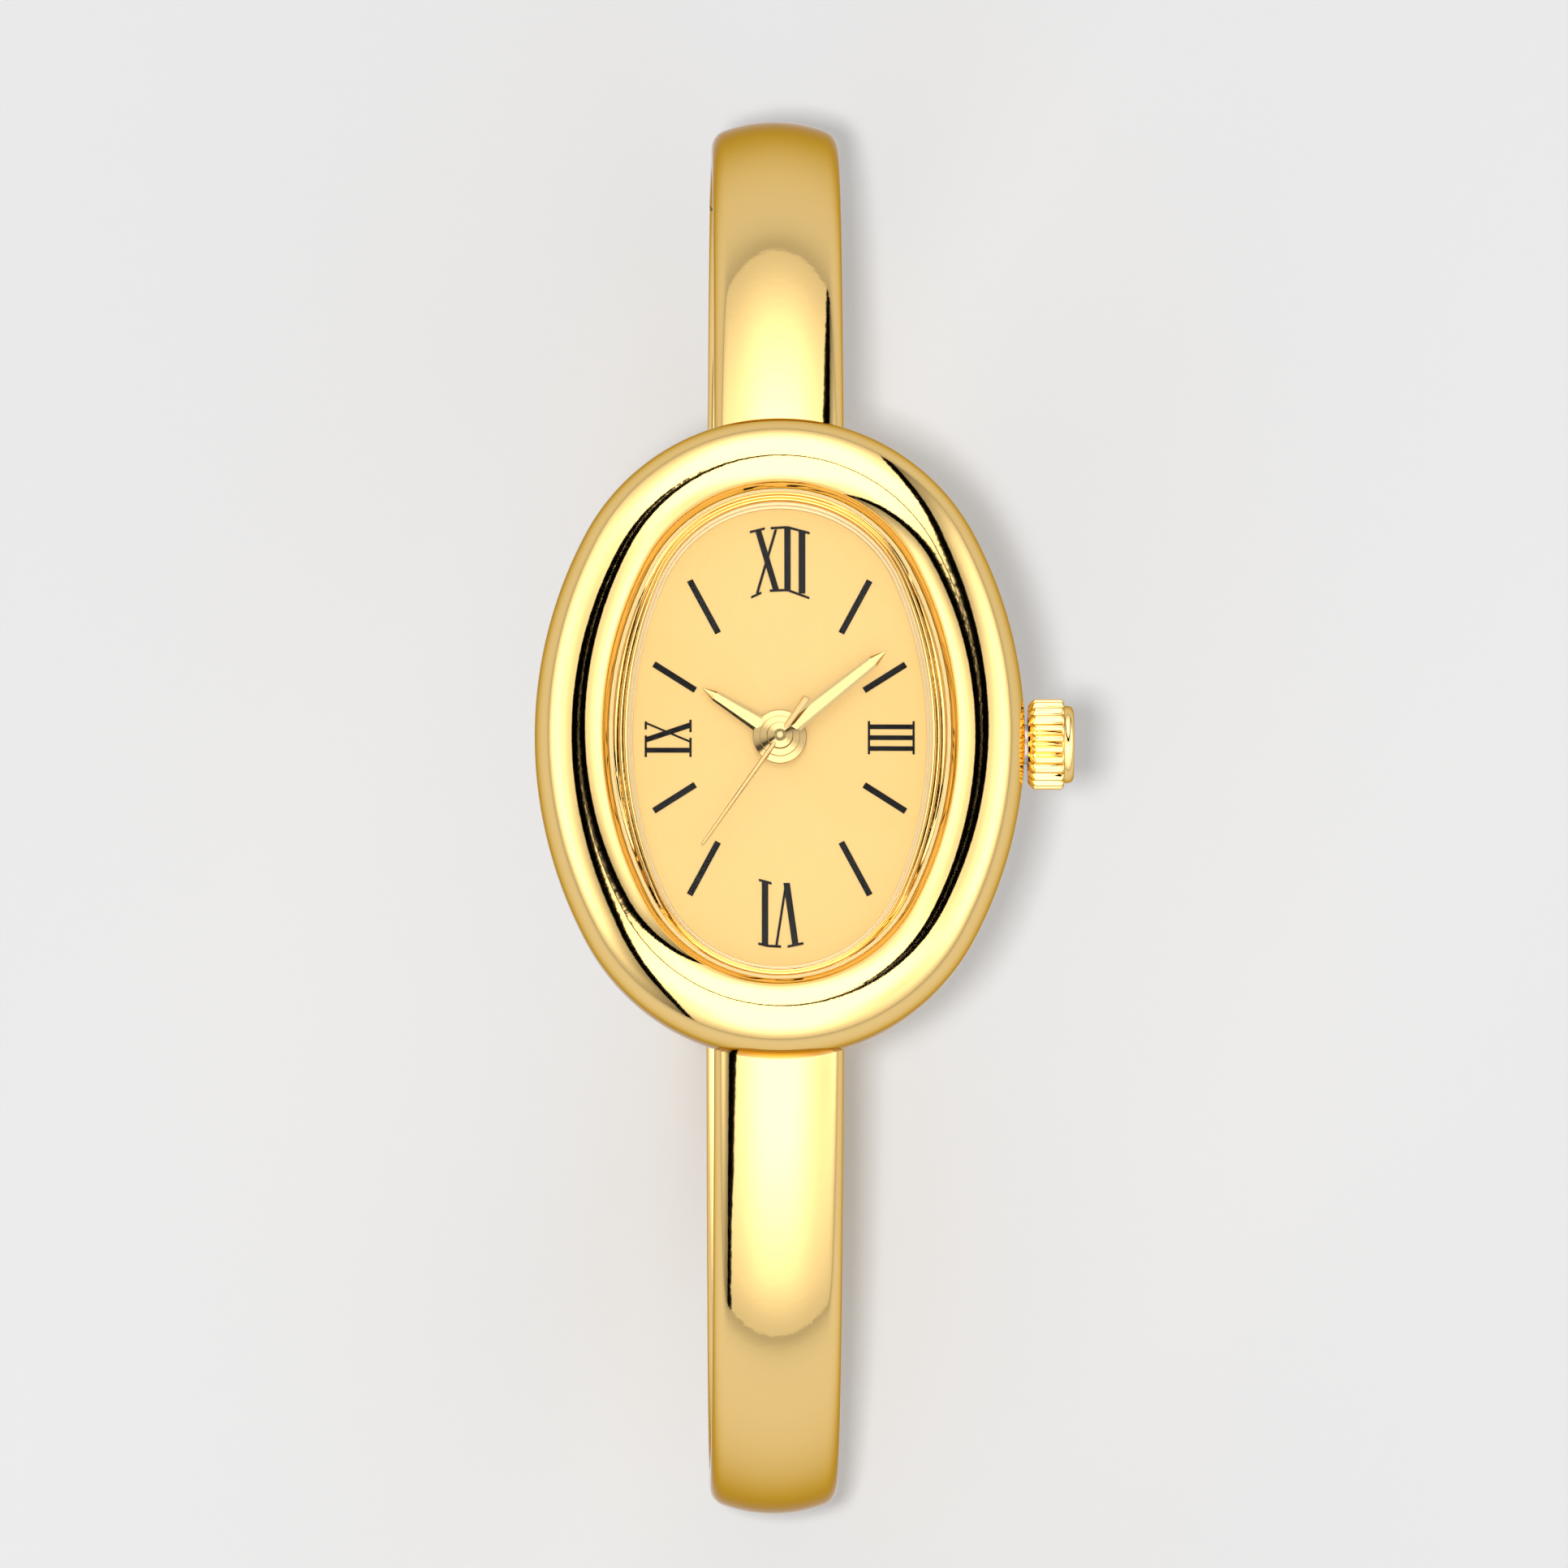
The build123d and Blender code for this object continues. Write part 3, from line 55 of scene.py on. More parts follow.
# Case in millimetres: half width and half length, then sections. Foot, crest and lip are
# (inset from the outline, level), and the tube's hole is (radius, inner end).
CASE_HALF = (9.8, 12.85)
CASE_END_RADIUS = 8.8
WIDEST_Z = 5.2
FOOT = (1.1, 0.3)
CREST = (1.75, 7.15)
LIP = (2.95, 6.2)
LEDGE_Z = 5.35
CRYSTAL_Z = 5.75
CAVITY_INSET = 2.25
OPENING_INSET = 1.75
SHOULDER_Z = 0.9
WINDOW_HALF = (5.85, 9.2)
WINDOW_END_RADIUS = 5.0
DIAL_TOP = 4.6
RING_STEP = 0.12
RING_STEPS = 3
RING_ROUND = 0.05
RING_ROUND_STEPS = 4
DIAL_INSET = CAVITY_INSET + FIT + CLEARANCE
LEDGE_RIDGES = 4
LEDGE_GROOVE = 0.06
RIDGE_STEPS = 12
TUBE_HOLE = (0.81, 7.4)
OVAL_STEPS = 110
FOOT_STEPS = 16
CREST_STEPS = 28
LIP_STEPS = 20

# Band: half length and half height of its oval, then its section. Angles are degrees.
BAND_HALF = (28.6, 24.5)
BAND_END_RADIUS = 22.0
BAND_THICKNESS = 2.0
BAND_HALF_WIDTH = 2.6
BAND_DOME_RADIUS = 6.0
BAND_OUTER_ROUND = 0.8
BAND_INNER_ROUND = 0.3
BAND_LEVEL = 3.3
BAND_STEP_ANGLE = 0.6
BAND_DOME_STEPS = 24
BAND_OUTER_STEPS = 12
BAND_INNER_STEPS = 8
ARM_ROOT_Y = 10.85
LUG_PIN_Y = 11.75
LUG_PIN_RADIUS = 0.3
SEAM_DROP = 14.0
SEAM_GAP = 0.12

# Hinge and clasp. The slot, the bar's cavity and the button's hole are ends across the band
# and heights above the seam.
KNUCKLE_RADIUS = 0.96
KNUCKLE_HALF = 0.85
KNUCKLE_GAP = 0.06
RELIEF_RADIUS = 1.3
PIN_RADIUS = 0.5
PIN_HALF = 2.3
TONGUE_HALF = 1.0
TONGUE_THICKNESS = 0.55
TONGUE_OFFSET = 0.15
TONGUE_ROOT = 0.7
SOCKET_TOP = 2.85
SLOT = (-2.25, 1.25)
BAR_CAVITY = (-2.25, 1.35, 2.75, 3.5)
BUTTON_HOLE = (1.3, 2.9, 3.35)

# Crown
STEM_Z = 3.0
CROWN_START = 9.95
CROWN_RADIUS = 1.825
GRIP_LENGTH = 1.45
CAP_LENGTH = 0.4
CAP_RADIUS = 1.55
CAP_ROUND = 0.25
FLUTES = 24
FLUTE_DEPTH = 0.18
FLUTE_STEPS = 16
FLUTE_POWER = 1.4
FLUTE_END_SHARE = 0.35
CROWN_CHAMFER = 0.3
GRIP_ROUND = 0.12
EDGE_POWER = 1.6
EDGE_STEPS = 6
CAP_STEP = 0.02
CAP_ROUND_STEPS = 8
CAP_FLAT_RADIUS = 0.7
CROWN_SMOOTH_ANGLE = 50.0
# Recess (radius, depth) and stem's hole (radius, end)
RECESS = (1.15, 1.25)
STEM_HOLE = (0.43, 11.5)

# Crystal
CRYSTAL_INSET = 3.1
CRYSTAL_HEIGHT = 1.15
CRYSTAL_DOME_RADIUS = 60.0
CRYSTAL_ROUND = 0.12
CRYSTAL_ROUND_STEPS = 8
CRYSTAL_OVAL_STEPS = 80
CRYSTAL_RINGS = 30


def mesh(name, points, faces, smooth_angle=SMOOTH_ANGLE):
    """A mesh object from points in millimetres, shaded smooth up to an angle."""
    data = bpy.data.meshes.new(name)
    data.from_pydata([tuple(p) for p in np.asarray(points) * MM], [], faces)
    data.validate()
    obj = bpy.data.objects.new(name, data)
    bpy.context.collection.objects.link(obj)
    data.shade_smooth()
    data.set_sharp_from_angle(angle=math.radians(smooth_angle))
    return obj


def skin(rings, closed):
    """Quads over rings of points. Open skins get flat end caps."""
    count, size = rings.shape[:2]
    faces = []
    for ring in range(count if closed else count - 1):
        after = (ring + 1) % count
        for step in range(size):
            following = (step + 1) % size
            faces.append(
                (
                    ring * size + step,
                    after * size + step,
                    after * size + following,
                    ring * size + following,
                )
            )
    if not closed:
        faces.append(tuple(range(size)))
        faces.append(tuple((count - 1) * size + step for step in reversed(range(size))))
    return rings.reshape(-1, 3), faces


def oval_stations(half, end_radius, per_arc):
    """Points and outward normals along an oval of four tangent arcs."""
    half_width, half_length = half
    end_y = half_length - end_radius
    side_radius = (end_y**2 + half_width**2 - end_radius**2) / (2 * (half_width - end_radius))
    side_x = side_radius - half_width
    tangent = math.atan2(end_y, side_x)
    arcs = [
        (-side_x, 0, side_radius, -tangent, tangent),
        (0, end_y, end_radius, tangent, math.pi - tangent),
        (side_x, 0, side_radius, math.pi - tangent, math.pi + tangent),
        (0, -end_y, end_radius, math.pi + tangent, 2 * math.pi - tangent),
    ]
    points = []
    normals = []
    for centre_x, centre_y, radius, first, last in arcs:
        for step in range(per_arc):
            angle = first + (last - first) * step / per_arc
            normal = np.array([math.cos(angle), math.sin(angle)])
            points.append(np.array([centre_x, centre_y]) + radius * normal)
            normals.append(normal)
    return np.array(points), np.array(normals)


def oval_ring(outline, inset, z):
    """The ring of points at one inset and level."""
    points, normals = outline
    flat = points - inset * normals
    return np.column_stack([flat, np.full(len(flat), z)])


def quarter(centre, run, rise, first, last, steps):
    """Inset and level along a quarter of an ellipse."""
    places = []
    for step in range(steps + 1):
        angle = math.radians(first + (last - first) * step / steps)
        places.append((centre[0] - run * math.cos(angle), centre[1] + rise * math.sin(angle)))
    return places


def turned(profile):
    """A solid turned about the X axis from (x, radius) pairs, closed on itself."""
    rings = []
    for step in range(TURNED_STEPS):
        angle = 2 * math.pi * step / TURNED_STEPS
        rings.append([(x, r * math.cos(angle), r * math.sin(angle)) for x, r in profile])
    return skin(np.array(rings), True)


def rod(radius, low, high, y, z):
    """A cylinder along X, used to cut and to join."""
    rings = []
    for x in (low, high):
        ring = []
        for step in range(ROD_STEPS):
            angle = 2 * math.pi * step / ROD_STEPS
            ring.append((x, y + radius * math.cos(angle), z + radius * math.sin(angle)))
        rings.append(ring)
    return mesh("rod", *skin(np.array(rings), False))


def block(x_ends, y_ends, z_ends):
    """A box, used to cut."""
    low_y, high_y = y_ends
    low_z, high_z = z_ends
    corners = [(low_y, low_z), (high_y, low_z), (high_y, high_z), (low_y, high_z)]
    rings = [[(x, y, z) for y, z in corners] for x in x_ends]
    return mesh("block", *skin(np.array(rings), False))


def combine(obj, tool, operation="DIFFERENCE"):
    """Cut, join or keep the common part of a solid and a tool, and drop the tool."""
    modifier = obj.modifiers.new("combine", "BOOLEAN")
    modifier.operation = operation
    modifier.solver = "EXACT"
    modifier.object = tool
    graph = bpy.context.evaluated_depsgraph_get()
    result = bpy.data.meshes.new_from_object(obj.evaluated_get(graph))
    obj.modifiers.clear()
    obj.data = result
    bpy.data.objects.remove(tool)
    result.shade_smooth()
    result.set_sharp_from_angle(angle=math.radians(SMOOTH_ANGLE))
    return obj


# Band geometry: arcs in the YZ plane, angles from +Z towards +Y
RING_END_Y = BAND_HALF[0] - BAND_END_RADIUS
RING_FLAT_RADIUS = (RING_END_Y**2 + BAND_HALF[1] ** 2 - BAND_END_RADIUS**2) / (
    2 * (BAND_HALF[1] - BAND_END_RADIUS)
)
RING_DROP = RING_FLAT_RADIUS - BAND_HALF[1]
RING_TANGENT = math.degrees(math.atan2(RING_END_Y, RING_DROP))
RING_Z = BAND_LEVEL + RING_DROP - math.sqrt(RING_FLAT_RADIUS**2 - CASE_HALF[1] ** 2)
RING_ARCS = [
    ((0, RING_Z - RING_DROP), RING_FLAT_RADIUS, -RING_TANGENT, RING_TANGENT),
    ((RING_END_Y, RING_Z), BAND_END_RADIUS, RING_TANGENT, 180 - RING_TANGENT),
    ((0, RING_Z + RING_DROP), RING_FLAT_RADIUS, 180 - RING_TANGENT, 180 + RING_TANGENT),
    ((-RING_END_Y, RING_Z), BAND_END_RADIUS, 180 + RING_TANGENT, 360 - RING_TANGENT),
    ((0, RING_Z - RING_DROP), RING_FLAT_RADIUS, 360 - RING_TANGENT, 360 + RING_TANGENT),
]
HINGE_ANGLE = 90 + SEAM_DROP
CLASP_ANGLE = 270 - SEAM_DROP
MIDDLE_RADIUS = BAND_END_RADIUS - BAND_THICKNESS / 2
HALF_GAP = math.degrees(SEAM_GAP / 2 / MIDDLE_RADIUS)
OUTSIDE = BAND_HALF_WIDTH + OVERRUN


def band_profile(grow):
    """Points (x, height from the outer crown) round the band's section."""
    half = BAND_HALF_WIDTH + grow
    dome = BAND_DOME_RADIUS + grow
    floor = -BAND_THICKNESS - grow
    corner_x = half - BAND_OUTER_ROUND
    corner_height = math.sqrt((dome - BAND_OUTER_ROUND) ** 2 - corner_x**2)
    lean = math.atan2(corner_x, corner_height)
    right = []
    for step in range(BAND_DOME_STEPS + 1):
        angle = lean * step / BAND_DOME_STEPS
        right.append((dome * math.sin(angle), grow + dome * (math.cos(angle) - 1)))
    for step in range(1, BAND_OUTER_STEPS + 1):
        angle = lean + (math.pi / 2 - lean) * step / BAND_OUTER_STEPS
        x = corner_x + BAND_OUTER_ROUND * math.sin(angle)
        height = corner_height - dome + BAND_OUTER_ROUND * math.cos(angle)
        right.append((x, grow + height))
    for step in range(BAND_INNER_STEPS + 1):
        angle = math.pi / 2 * step / BAND_INNER_STEPS
        x = half - BAND_INNER_ROUND * (1 - math.cos(angle))
        right.append((x, floor + BAND_INNER_ROUND * (1 - math.sin(angle))))
    left = [(-x, height) for x, height in reversed(right[1:])]
    return np.array(right + [(0.0, floor)] + left)


def band(name, start, end, grow=0.0):
    """A stretch of the band as a solid, between two angles."""
    x, height = band_profile(grow).T
    rings = []
    for (centre_y, centre_z), radius, low, high in RING_ARCS:
        first = max(low, start)
        last = min(high, end)
        if last <= first:
            continue
        steps = max(2, math.ceil((last - first) / BAND_STEP_ANGLE))
        for step in range(steps + 1):
            turn = math.radians(first + (last - first) * step / steps)
            y = centre_y + (radius + height) * math.sin(turn)
            z = centre_z + (radius + height) * math.cos(turn)
            ring = np.column_stack([x, y, z])
            if not rings or np.abs(ring - rings[-1]).max() >= SAME_PLACE:
                rings.append(ring)
    return mesh(name, *skin(np.array(rings), False))


def seam_centre(side):
    """Mid-thickness of the band at the seam on one side, as (y, z)."""
    drop = math.radians(SEAM_DROP)
    y = RING_END_Y + MIDDLE_RADIUS * math.cos(drop)
    return side * y, RING_Z - MIDDLE_RADIUS * math.sin(drop)


def root_angle():
    """The angle at which the band's inner side reaches its root in the case."""
    return math.degrees(math.asin(ARM_ROOT_Y / (RING_FLAT_RADIUS - BAND_THICKNESS)))


def lug_pin_z():
    """Mid-thickness of the band at the pins that hold it in the case."""
    centre_z = RING_Z - RING_DROP
    levels = [
        centre_z + math.sqrt(radius**2 - LUG_PIN_Y**2)
        for radius in (RING_FLAT_RADIUS, RING_FLAT_RADIUS - BAND_THICKNESS)
    ]
    return sum(levels) / 2


def case_shell():
    """The polished case wall with its lip, ledge, band pockets and tube hole."""
    outline = oval_stations(CASE_HALF, CASE_END_RADIUS, OVAL_STEPS)
    window = oval_stations(WINDOW_HALF, WINDOW_END_RADIUS, OVAL_STEPS)
    foot_height = WIDEST_Z - FOOT[1]
    crest_height = CREST[1] - WIDEST_Z
    lip_run = LIP[0] - CREST[0]
    lip_height = CREST[1] - LIP[1]
    places = quarter((FOOT[0], WIDEST_Z), FOOT[0], foot_height, -90, 0, FOOT_STEPS)
    places += quarter((CREST[0], WIDEST_Z), CREST[0], crest_height, 0, 90, CREST_STEPS)[1:]
    places += quarter((CREST[0], LIP[1]), lip_run, lip_height, 90, 180, LIP_STEPS)[1:]
    places.append((LIP[0], CRYSTAL_Z))
    rings = [oval_ring(outline, inset, z) for inset, z in places]
    ledge_out = oval_ring(outline, LIP[0], CRYSTAL_Z)
    ledge_in = oval_ring(window, -2 * RING_STEP, CRYSTAL_Z)
    for step in range(1, LEDGE_RIDGES * RIDGE_STEPS + 1):
        share = step / (LEDGE_RIDGES * RIDGE_STEPS)
        ring = ledge_out * (1 - share) + ledge_in * share
        ring[:, 2] -= LEDGE_GROOVE * (1 - abs(math.sin(math.pi * LEDGE_RIDGES * share)))
        rings.append(ring)
    rings.append(oval_ring(window, -2 * RING_STEP, LEDGE_Z))
    inside = [
        (CAVITY_INSET, LEDGE_Z),
        (CAVITY_INSET, SHOULDER_Z),
        (OPENING_INSET, SHOULDER_Z),
        (OPENING_INSET, FOOT[1]),
    ]
    rings += [oval_ring(outline, inset, z) for inset, z in inside]
    shell = mesh("case_body", *skin(np.array(rings).transpose(1, 0, 2), True))
    start = root_angle()
    for low, high in ((start, RING_TANGENT), (360 - RING_TANGENT, 360 - start)):
        combine(shell, band("pocket", low, high, FIT))
    hole_radius, hole_end = TUBE_HOLE
    combine(shell, rod(hole_radius, hole_end, CASE_HALF[0] + OVERRUN, 0, STEM_Z))
    return shell


def knuckle(low, high):
    """A stretch of the hinge's barrel, no thicker than the band."""
    barrel = rod(KNUCKLE_RADIUS, low, high, *seam_centre(1))
    overlap = math.degrees(RELIEF_RADIUS / MIDDLE_RADIUS)
    near_hinge = band("near_hinge", HINGE_ANGLE - overlap, HINGE_ANGLE + overlap)
    return combine(barrel, near_hinge, "INTERSECT")


def clasp_block(x_ends, heights, grow):
    """A box in the clasp, its heights measured up from the seam."""
    clasp_y, clasp_z = seam_centre(-1)
    middle = clasp_y - TONGUE_OFFSET
    half = TONGUE_THICKNESS / 2 + grow
    levels = (clasp_z + heights[0], clasp_z + heights[1])
    return block(x_ends, (middle - half, middle + half), levels)


def upper_arm():
    """The fixed arm towards twelve, with the outer knuckles of the hinge."""
    hinge = seam_centre(1)
    arm = band("arm_twelve", root_angle(), HINGE_ANGLE)
    reach = KNUCKLE_HALF + KNUCKLE_GAP
    for low, high in ((reach, OUTSIDE), (-OUTSIDE, -reach)):
        combine(arm, knuckle(low, high), "UNION")
    combine(arm, rod(RELIEF_RADIUS, -reach, reach, *hinge))
    combine(arm, rod(PIN_RADIUS + PRESS_GAP, -PIN_HALF, PIN_HALF, *hinge))
    combine(arm, rod(LUG_PIN_RADIUS + PRESS_GAP, -OUTSIDE, OUTSIDE, LUG_PIN_Y, lug_pin_z()))
    return arm


def rear_arm():
    """The arm that opens, with the middle knuckle and the tongue's socket."""
    hinge = seam_centre(1)
    arm = band("arm_rear", HINGE_ANGLE, CLASP_ANGLE - HALF_GAP)
    for low, high in ((KNUCKLE_HALF, OUTSIDE), (-OUTSIDE, -KNUCKLE_HALF)):
        combine(arm, rod(RELIEF_RADIUS, low, high, *hinge))
    combine(arm, knuckle(-KNUCKLE_HALF, KNUCKLE_HALF), "UNION")
    combine(arm, rod(PIN_RADIUS + RUNNING_GAP, -OUTSIDE, OUTSIDE, *hinge))
    combine(arm, clasp_block((-TONGUE_HALF, TONGUE_HALF), (-TONGUE_ROOT, OVERRUN), PRESS_GAP))
    return arm


def lower_arm():
    """The fixed arm towards six, hollow inside for the latch."""
    arm = band("arm_six", CLASP_ANGLE + HALF_GAP, 360 - root_angle())
    socket = TONGUE_HALF + CLEARANCE
    slot_ends = (SLOT[0], -TONGUE_HALF)
    combine(arm, clasp_block((-socket, socket), (-OVERRUN, SOCKET_TOP), CLEARANCE))
    combine(arm, clasp_block(slot_ends, (SLOT[1], SOCKET_TOP), CLEARANCE))
    combine(arm, clasp_block(BAR_CAVITY[:2], BAR_CAVITY[2:], CLEARANCE))
    combine(arm, clasp_block((BUTTON_HOLE[0], OUTSIDE), BUTTON_HOLE[1:], 0))
    combine(arm, rod(LUG_PIN_RADIUS + PRESS_GAP, -OUTSIDE, OUTSIDE, -LUG_PIN_Y, lug_pin_z()))
    return arm


def crown():
    """The fluted crown, its flutes rounded and chamfered, with a polished cap."""
    grip_end = CROWN_START + GRIP_LENGTH
    cap_end = grip_end + CAP_LENGTH
    recess_radius, recess_depth = RECESS
    recess_end = CROWN_START + recess_depth
    hole_radius, hole_end = STEM_HOLE
    # Places along the axis, radii and shares of the flutes' depth
    profile = [(hole_end, AXIS_RADIUS, 0), (hole_end, hole_radius, 0)]
    profile += [(recess_end, hole_radius, 0), (recess_end, recess_radius, 0)]
    profile += [(CROWN_START, recess_radius, 0), (CROWN_START, CROWN_RADIUS - CROWN_CHAMFER, 0)]
    for step in range(EDGE_STEPS + 1):
        share = step / EDGE_STEPS
        drop = CROWN_CHAMFER * (1 - share) ** EDGE_POWER
        profile.append((CROWN_START + CROWN_CHAMFER * share, CROWN_RADIUS - drop, share))
    for step in range(EDGE_STEPS + 1):
        share = 1 - step / EDGE_STEPS
        drop = GRIP_ROUND * (1 - share) ** EDGE_POWER
        depth = max(share, FLUTE_END_SHARE)
        profile.append((grip_end - GRIP_ROUND * share, CROWN_RADIUS - drop, depth))
    profile += [(grip_end, CAP_RADIUS + CAP_STEP, 0), (grip_end + CAP_STEP, CAP_RADIUS, 0)]
    for step in range(CAP_ROUND_STEPS + 1):
        angle = math.pi / 2 * step / CAP_ROUND_STEPS
        x = cap_end - CAP_ROUND * (1 - math.sin(angle))
        profile.append((x, CAP_RADIUS - CAP_ROUND * (1 - math.cos(angle)), 0))
    profile += [(cap_end, CAP_FLAT_RADIUS, 0), (cap_end, AXIS_RADIUS, 0)]
    rings = []
    for step in range(FLUTES * FLUTE_STEPS):
        angle = 2 * math.pi * step / (FLUTES * FLUTE_STEPS)
        groove = FLUTE_DEPTH * ((1 - math.cos(FLUTES * angle)) / 2) ** FLUTE_POWER
        ring = []
        for x, radius, share in profile:
            reach = radius - groove * share
            ring.append((x, reach * math.cos(angle), STEM_Z + reach * math.sin(angle)))
        rings.append(ring)
    return mesh("crown_body", *skin(np.array(rings), True), CROWN_SMOOTH_ANGLE)


def crystal():
    """The crystal, slightly domed, with a rounded edge."""
    points, normals = oval_stations(CASE_HALF, CASE_END_RADIUS, CRYSTAL_OVAL_STEPS)
    edge = points - CRYSTAL_INSET * normals

    def dome(flat):
        """Levels of the dome over some places."""
        top = CRYSTAL_Z + CRYSTAL_HEIGHT
        return top - (flat**2).sum(axis=1) / (2 * CRYSTAL_DOME_RADIUS)

    rings = [oval_ring((points, normals), CRYSTAL_INSET, CRYSTAL_Z + RUNNING_GAP)]
    for step in range(CRYSTAL_ROUND_STEPS + 1):
        angle = math.pi / 2 * step / CRYSTAL_ROUND_STEPS
        flat = edge - CRYSTAL_ROUND * (1 - math.cos(angle)) * normals
        rings.append(np.column_stack([flat, dome(edge) - CRYSTAL_ROUND * (1 - math.sin(angle))]))
    inner = edge - CRYSTAL_ROUND * normals
    for step in range(1, CRYSTAL_RINGS):
        flat = inner * (1 + math.cos(math.pi * step / CRYSTAL_RINGS)) / 2
        rings.append(np.column_stack([flat, dome(flat)]))
    return mesh("crystal_glass", *skin(np.array(rings[::-1]), False))


def dial_ring():
    """The stepped ring round the dial, its steps rounded and polished."""
    outline = oval_stations(CASE_HALF, CASE_END_RADIUS, OVAL_STEPS)
    window = oval_stations(WINDOW_HALF, WINDOW_END_RADIUS, OVAL_STEPS)
    height = (LEDGE_Z - DIAL_TOP) / RING_STEPS
    rings = []
    for step in range(RING_STEPS):
        inset = -step * RING_STEP
        low = DIAL_TOP + step * height
        rings.append(oval_ring(window, inset, low))
        corner = (inset - RING_ROUND, low + height - RING_ROUND)
        edge = quarter(corner, -RING_ROUND, RING_ROUND, 0, 90, RING_ROUND_STEPS)
        rings += [oval_ring(window, *place) for place in edge]
    rings.append(oval_ring(outline, DIAL_INSET, LEDGE_Z))
    rings.append(oval_ring(outline, DIAL_INSET, DIAL_TOP))
    grid = np.array(rings).transpose(1, 0, 2)
    return mesh("stepped_ring", *skin(grid[::-1], True))


# Hands, each a hub on its pipe and a blade that leaves it. root, neck and tail are half widths.
HANDS = {
    "hour_hand": {
        "length": 3.66,
        "hub": 1.07,
        "bore": 0.60,
        "root": 0.42,
        "neck": 0.195,
        "point": 0.6,
        "level": 4.85,
        "thickness": 0.15,
        "angle": 302.3,
    },
    "minute_hand": {
        "length": 5.48,
        "hub": 0.81,
        "bore": 0.35,
        "root": 0.38,
        "neck": 0.23,
        "point": 0.7,
        "level": 5.15,
        "thickness": 0.15,
        "angle": 51.1,
    },
    "second_hand": {
        "length": 5.47,
        "hub": 0.52,
        "bore": 0.12,
        "root": 0.1,
        "neck": 0.065,
        "point": 0.15,
        "level": 5.45,
        "thickness": 0.10,
        "angle": 215.1,
        "tail_length": 1.82,
        "tail": 0.155,
    },
}
HAND_SMOOTH_ANGLE = 5.0
# Run and drop of the slope round the hub's top
HUB_SLOPE = (0.27, 0.09)
HUB_ROUND = 0.02
ROOT_GAP = 0.04
BLADE_GAP = 0.012
BLADE_EDGE = 0.02
BLADE_BEVEL = 0.62
FLANK_SHARE = 0.6
TIP_HALF = 0.004
TIP_RISE = 0.01


def blade(stations, level, thickness):
    """A closed blade along Y with a ridge along its middle, from (y, half width) pairs."""
    foot = level + BLADE_GAP
    edge = foot + BLADE_EDGE
    flank = foot + FLANK_SHARE * thickness
    rings = []
    for y, half in stations:
        ridge = flank + TIP_RISE if half == TIP_HALF else level + thickness - BLADE_GAP
        inner = BLADE_BEVEL * half
        section = [(half, foot), (half, edge), (inner, flank), (0, ridge)]
        section += [(-inner, flank), (-half, edge), (-half, foot)]
        rings.append([(x, y, z) for x, z in section])
    return skin(np.array(rings), False)


def hand(node):
    """A tapering hand with a point, and a hub that slopes down to its rim."""
    size = HANDS[node]
    level, thickness = size["level"], size["thickness"]
    start = size["bore"] + ROOT_GAP
    neck_y = size["length"] - size["point"]
    root = size["root"] + (size["neck"] - size["root"]) * start / neck_y
    stations = [(start, root), (neck_y, size["neck"]), (size["length"], TIP_HALF)]
    skins = [blade(stations, level, thickness)]
    if "tail" in size:
        tail = [(-size["tail_length"], size["tail"]), (-start, root)]
        skins.append(blade(tail, level, thickness))
    top = level + thickness
    run, drop = HUB_SLOPE
    profile = [
        (level, size["bore"]),
        (level, size["hub"]),
        (top - drop, size["hub"]),
        (top - drop + HUB_ROUND, size["hub"] - HUB_ROUND),
        (top, size["hub"] - run),
        (top, size["bore"]),
    ]
    points, faces = turned(profile)
    skins.append((np.roll(points, -1, axis=1), faces))
    corners = np.concatenate([points for points, faces in skins])
    joined = []
    first = 0
    for points, faces in skins:
        joined += [tuple(first + corner for corner in face) for face in faces]
        first += len(points)
    obj = mesh(node + "_body", corners, joined, HAND_SMOOTH_ANGLE)
    obj.data.transform(Matrix.Rotation(math.radians(-size["angle"]), 4, "Z"))
    return obj


# Polished gold, and how much darker its mirror is at a grazing angle
GOLD = (1.0, 0.70, 0.275)
EDGE_DIM = 0.55
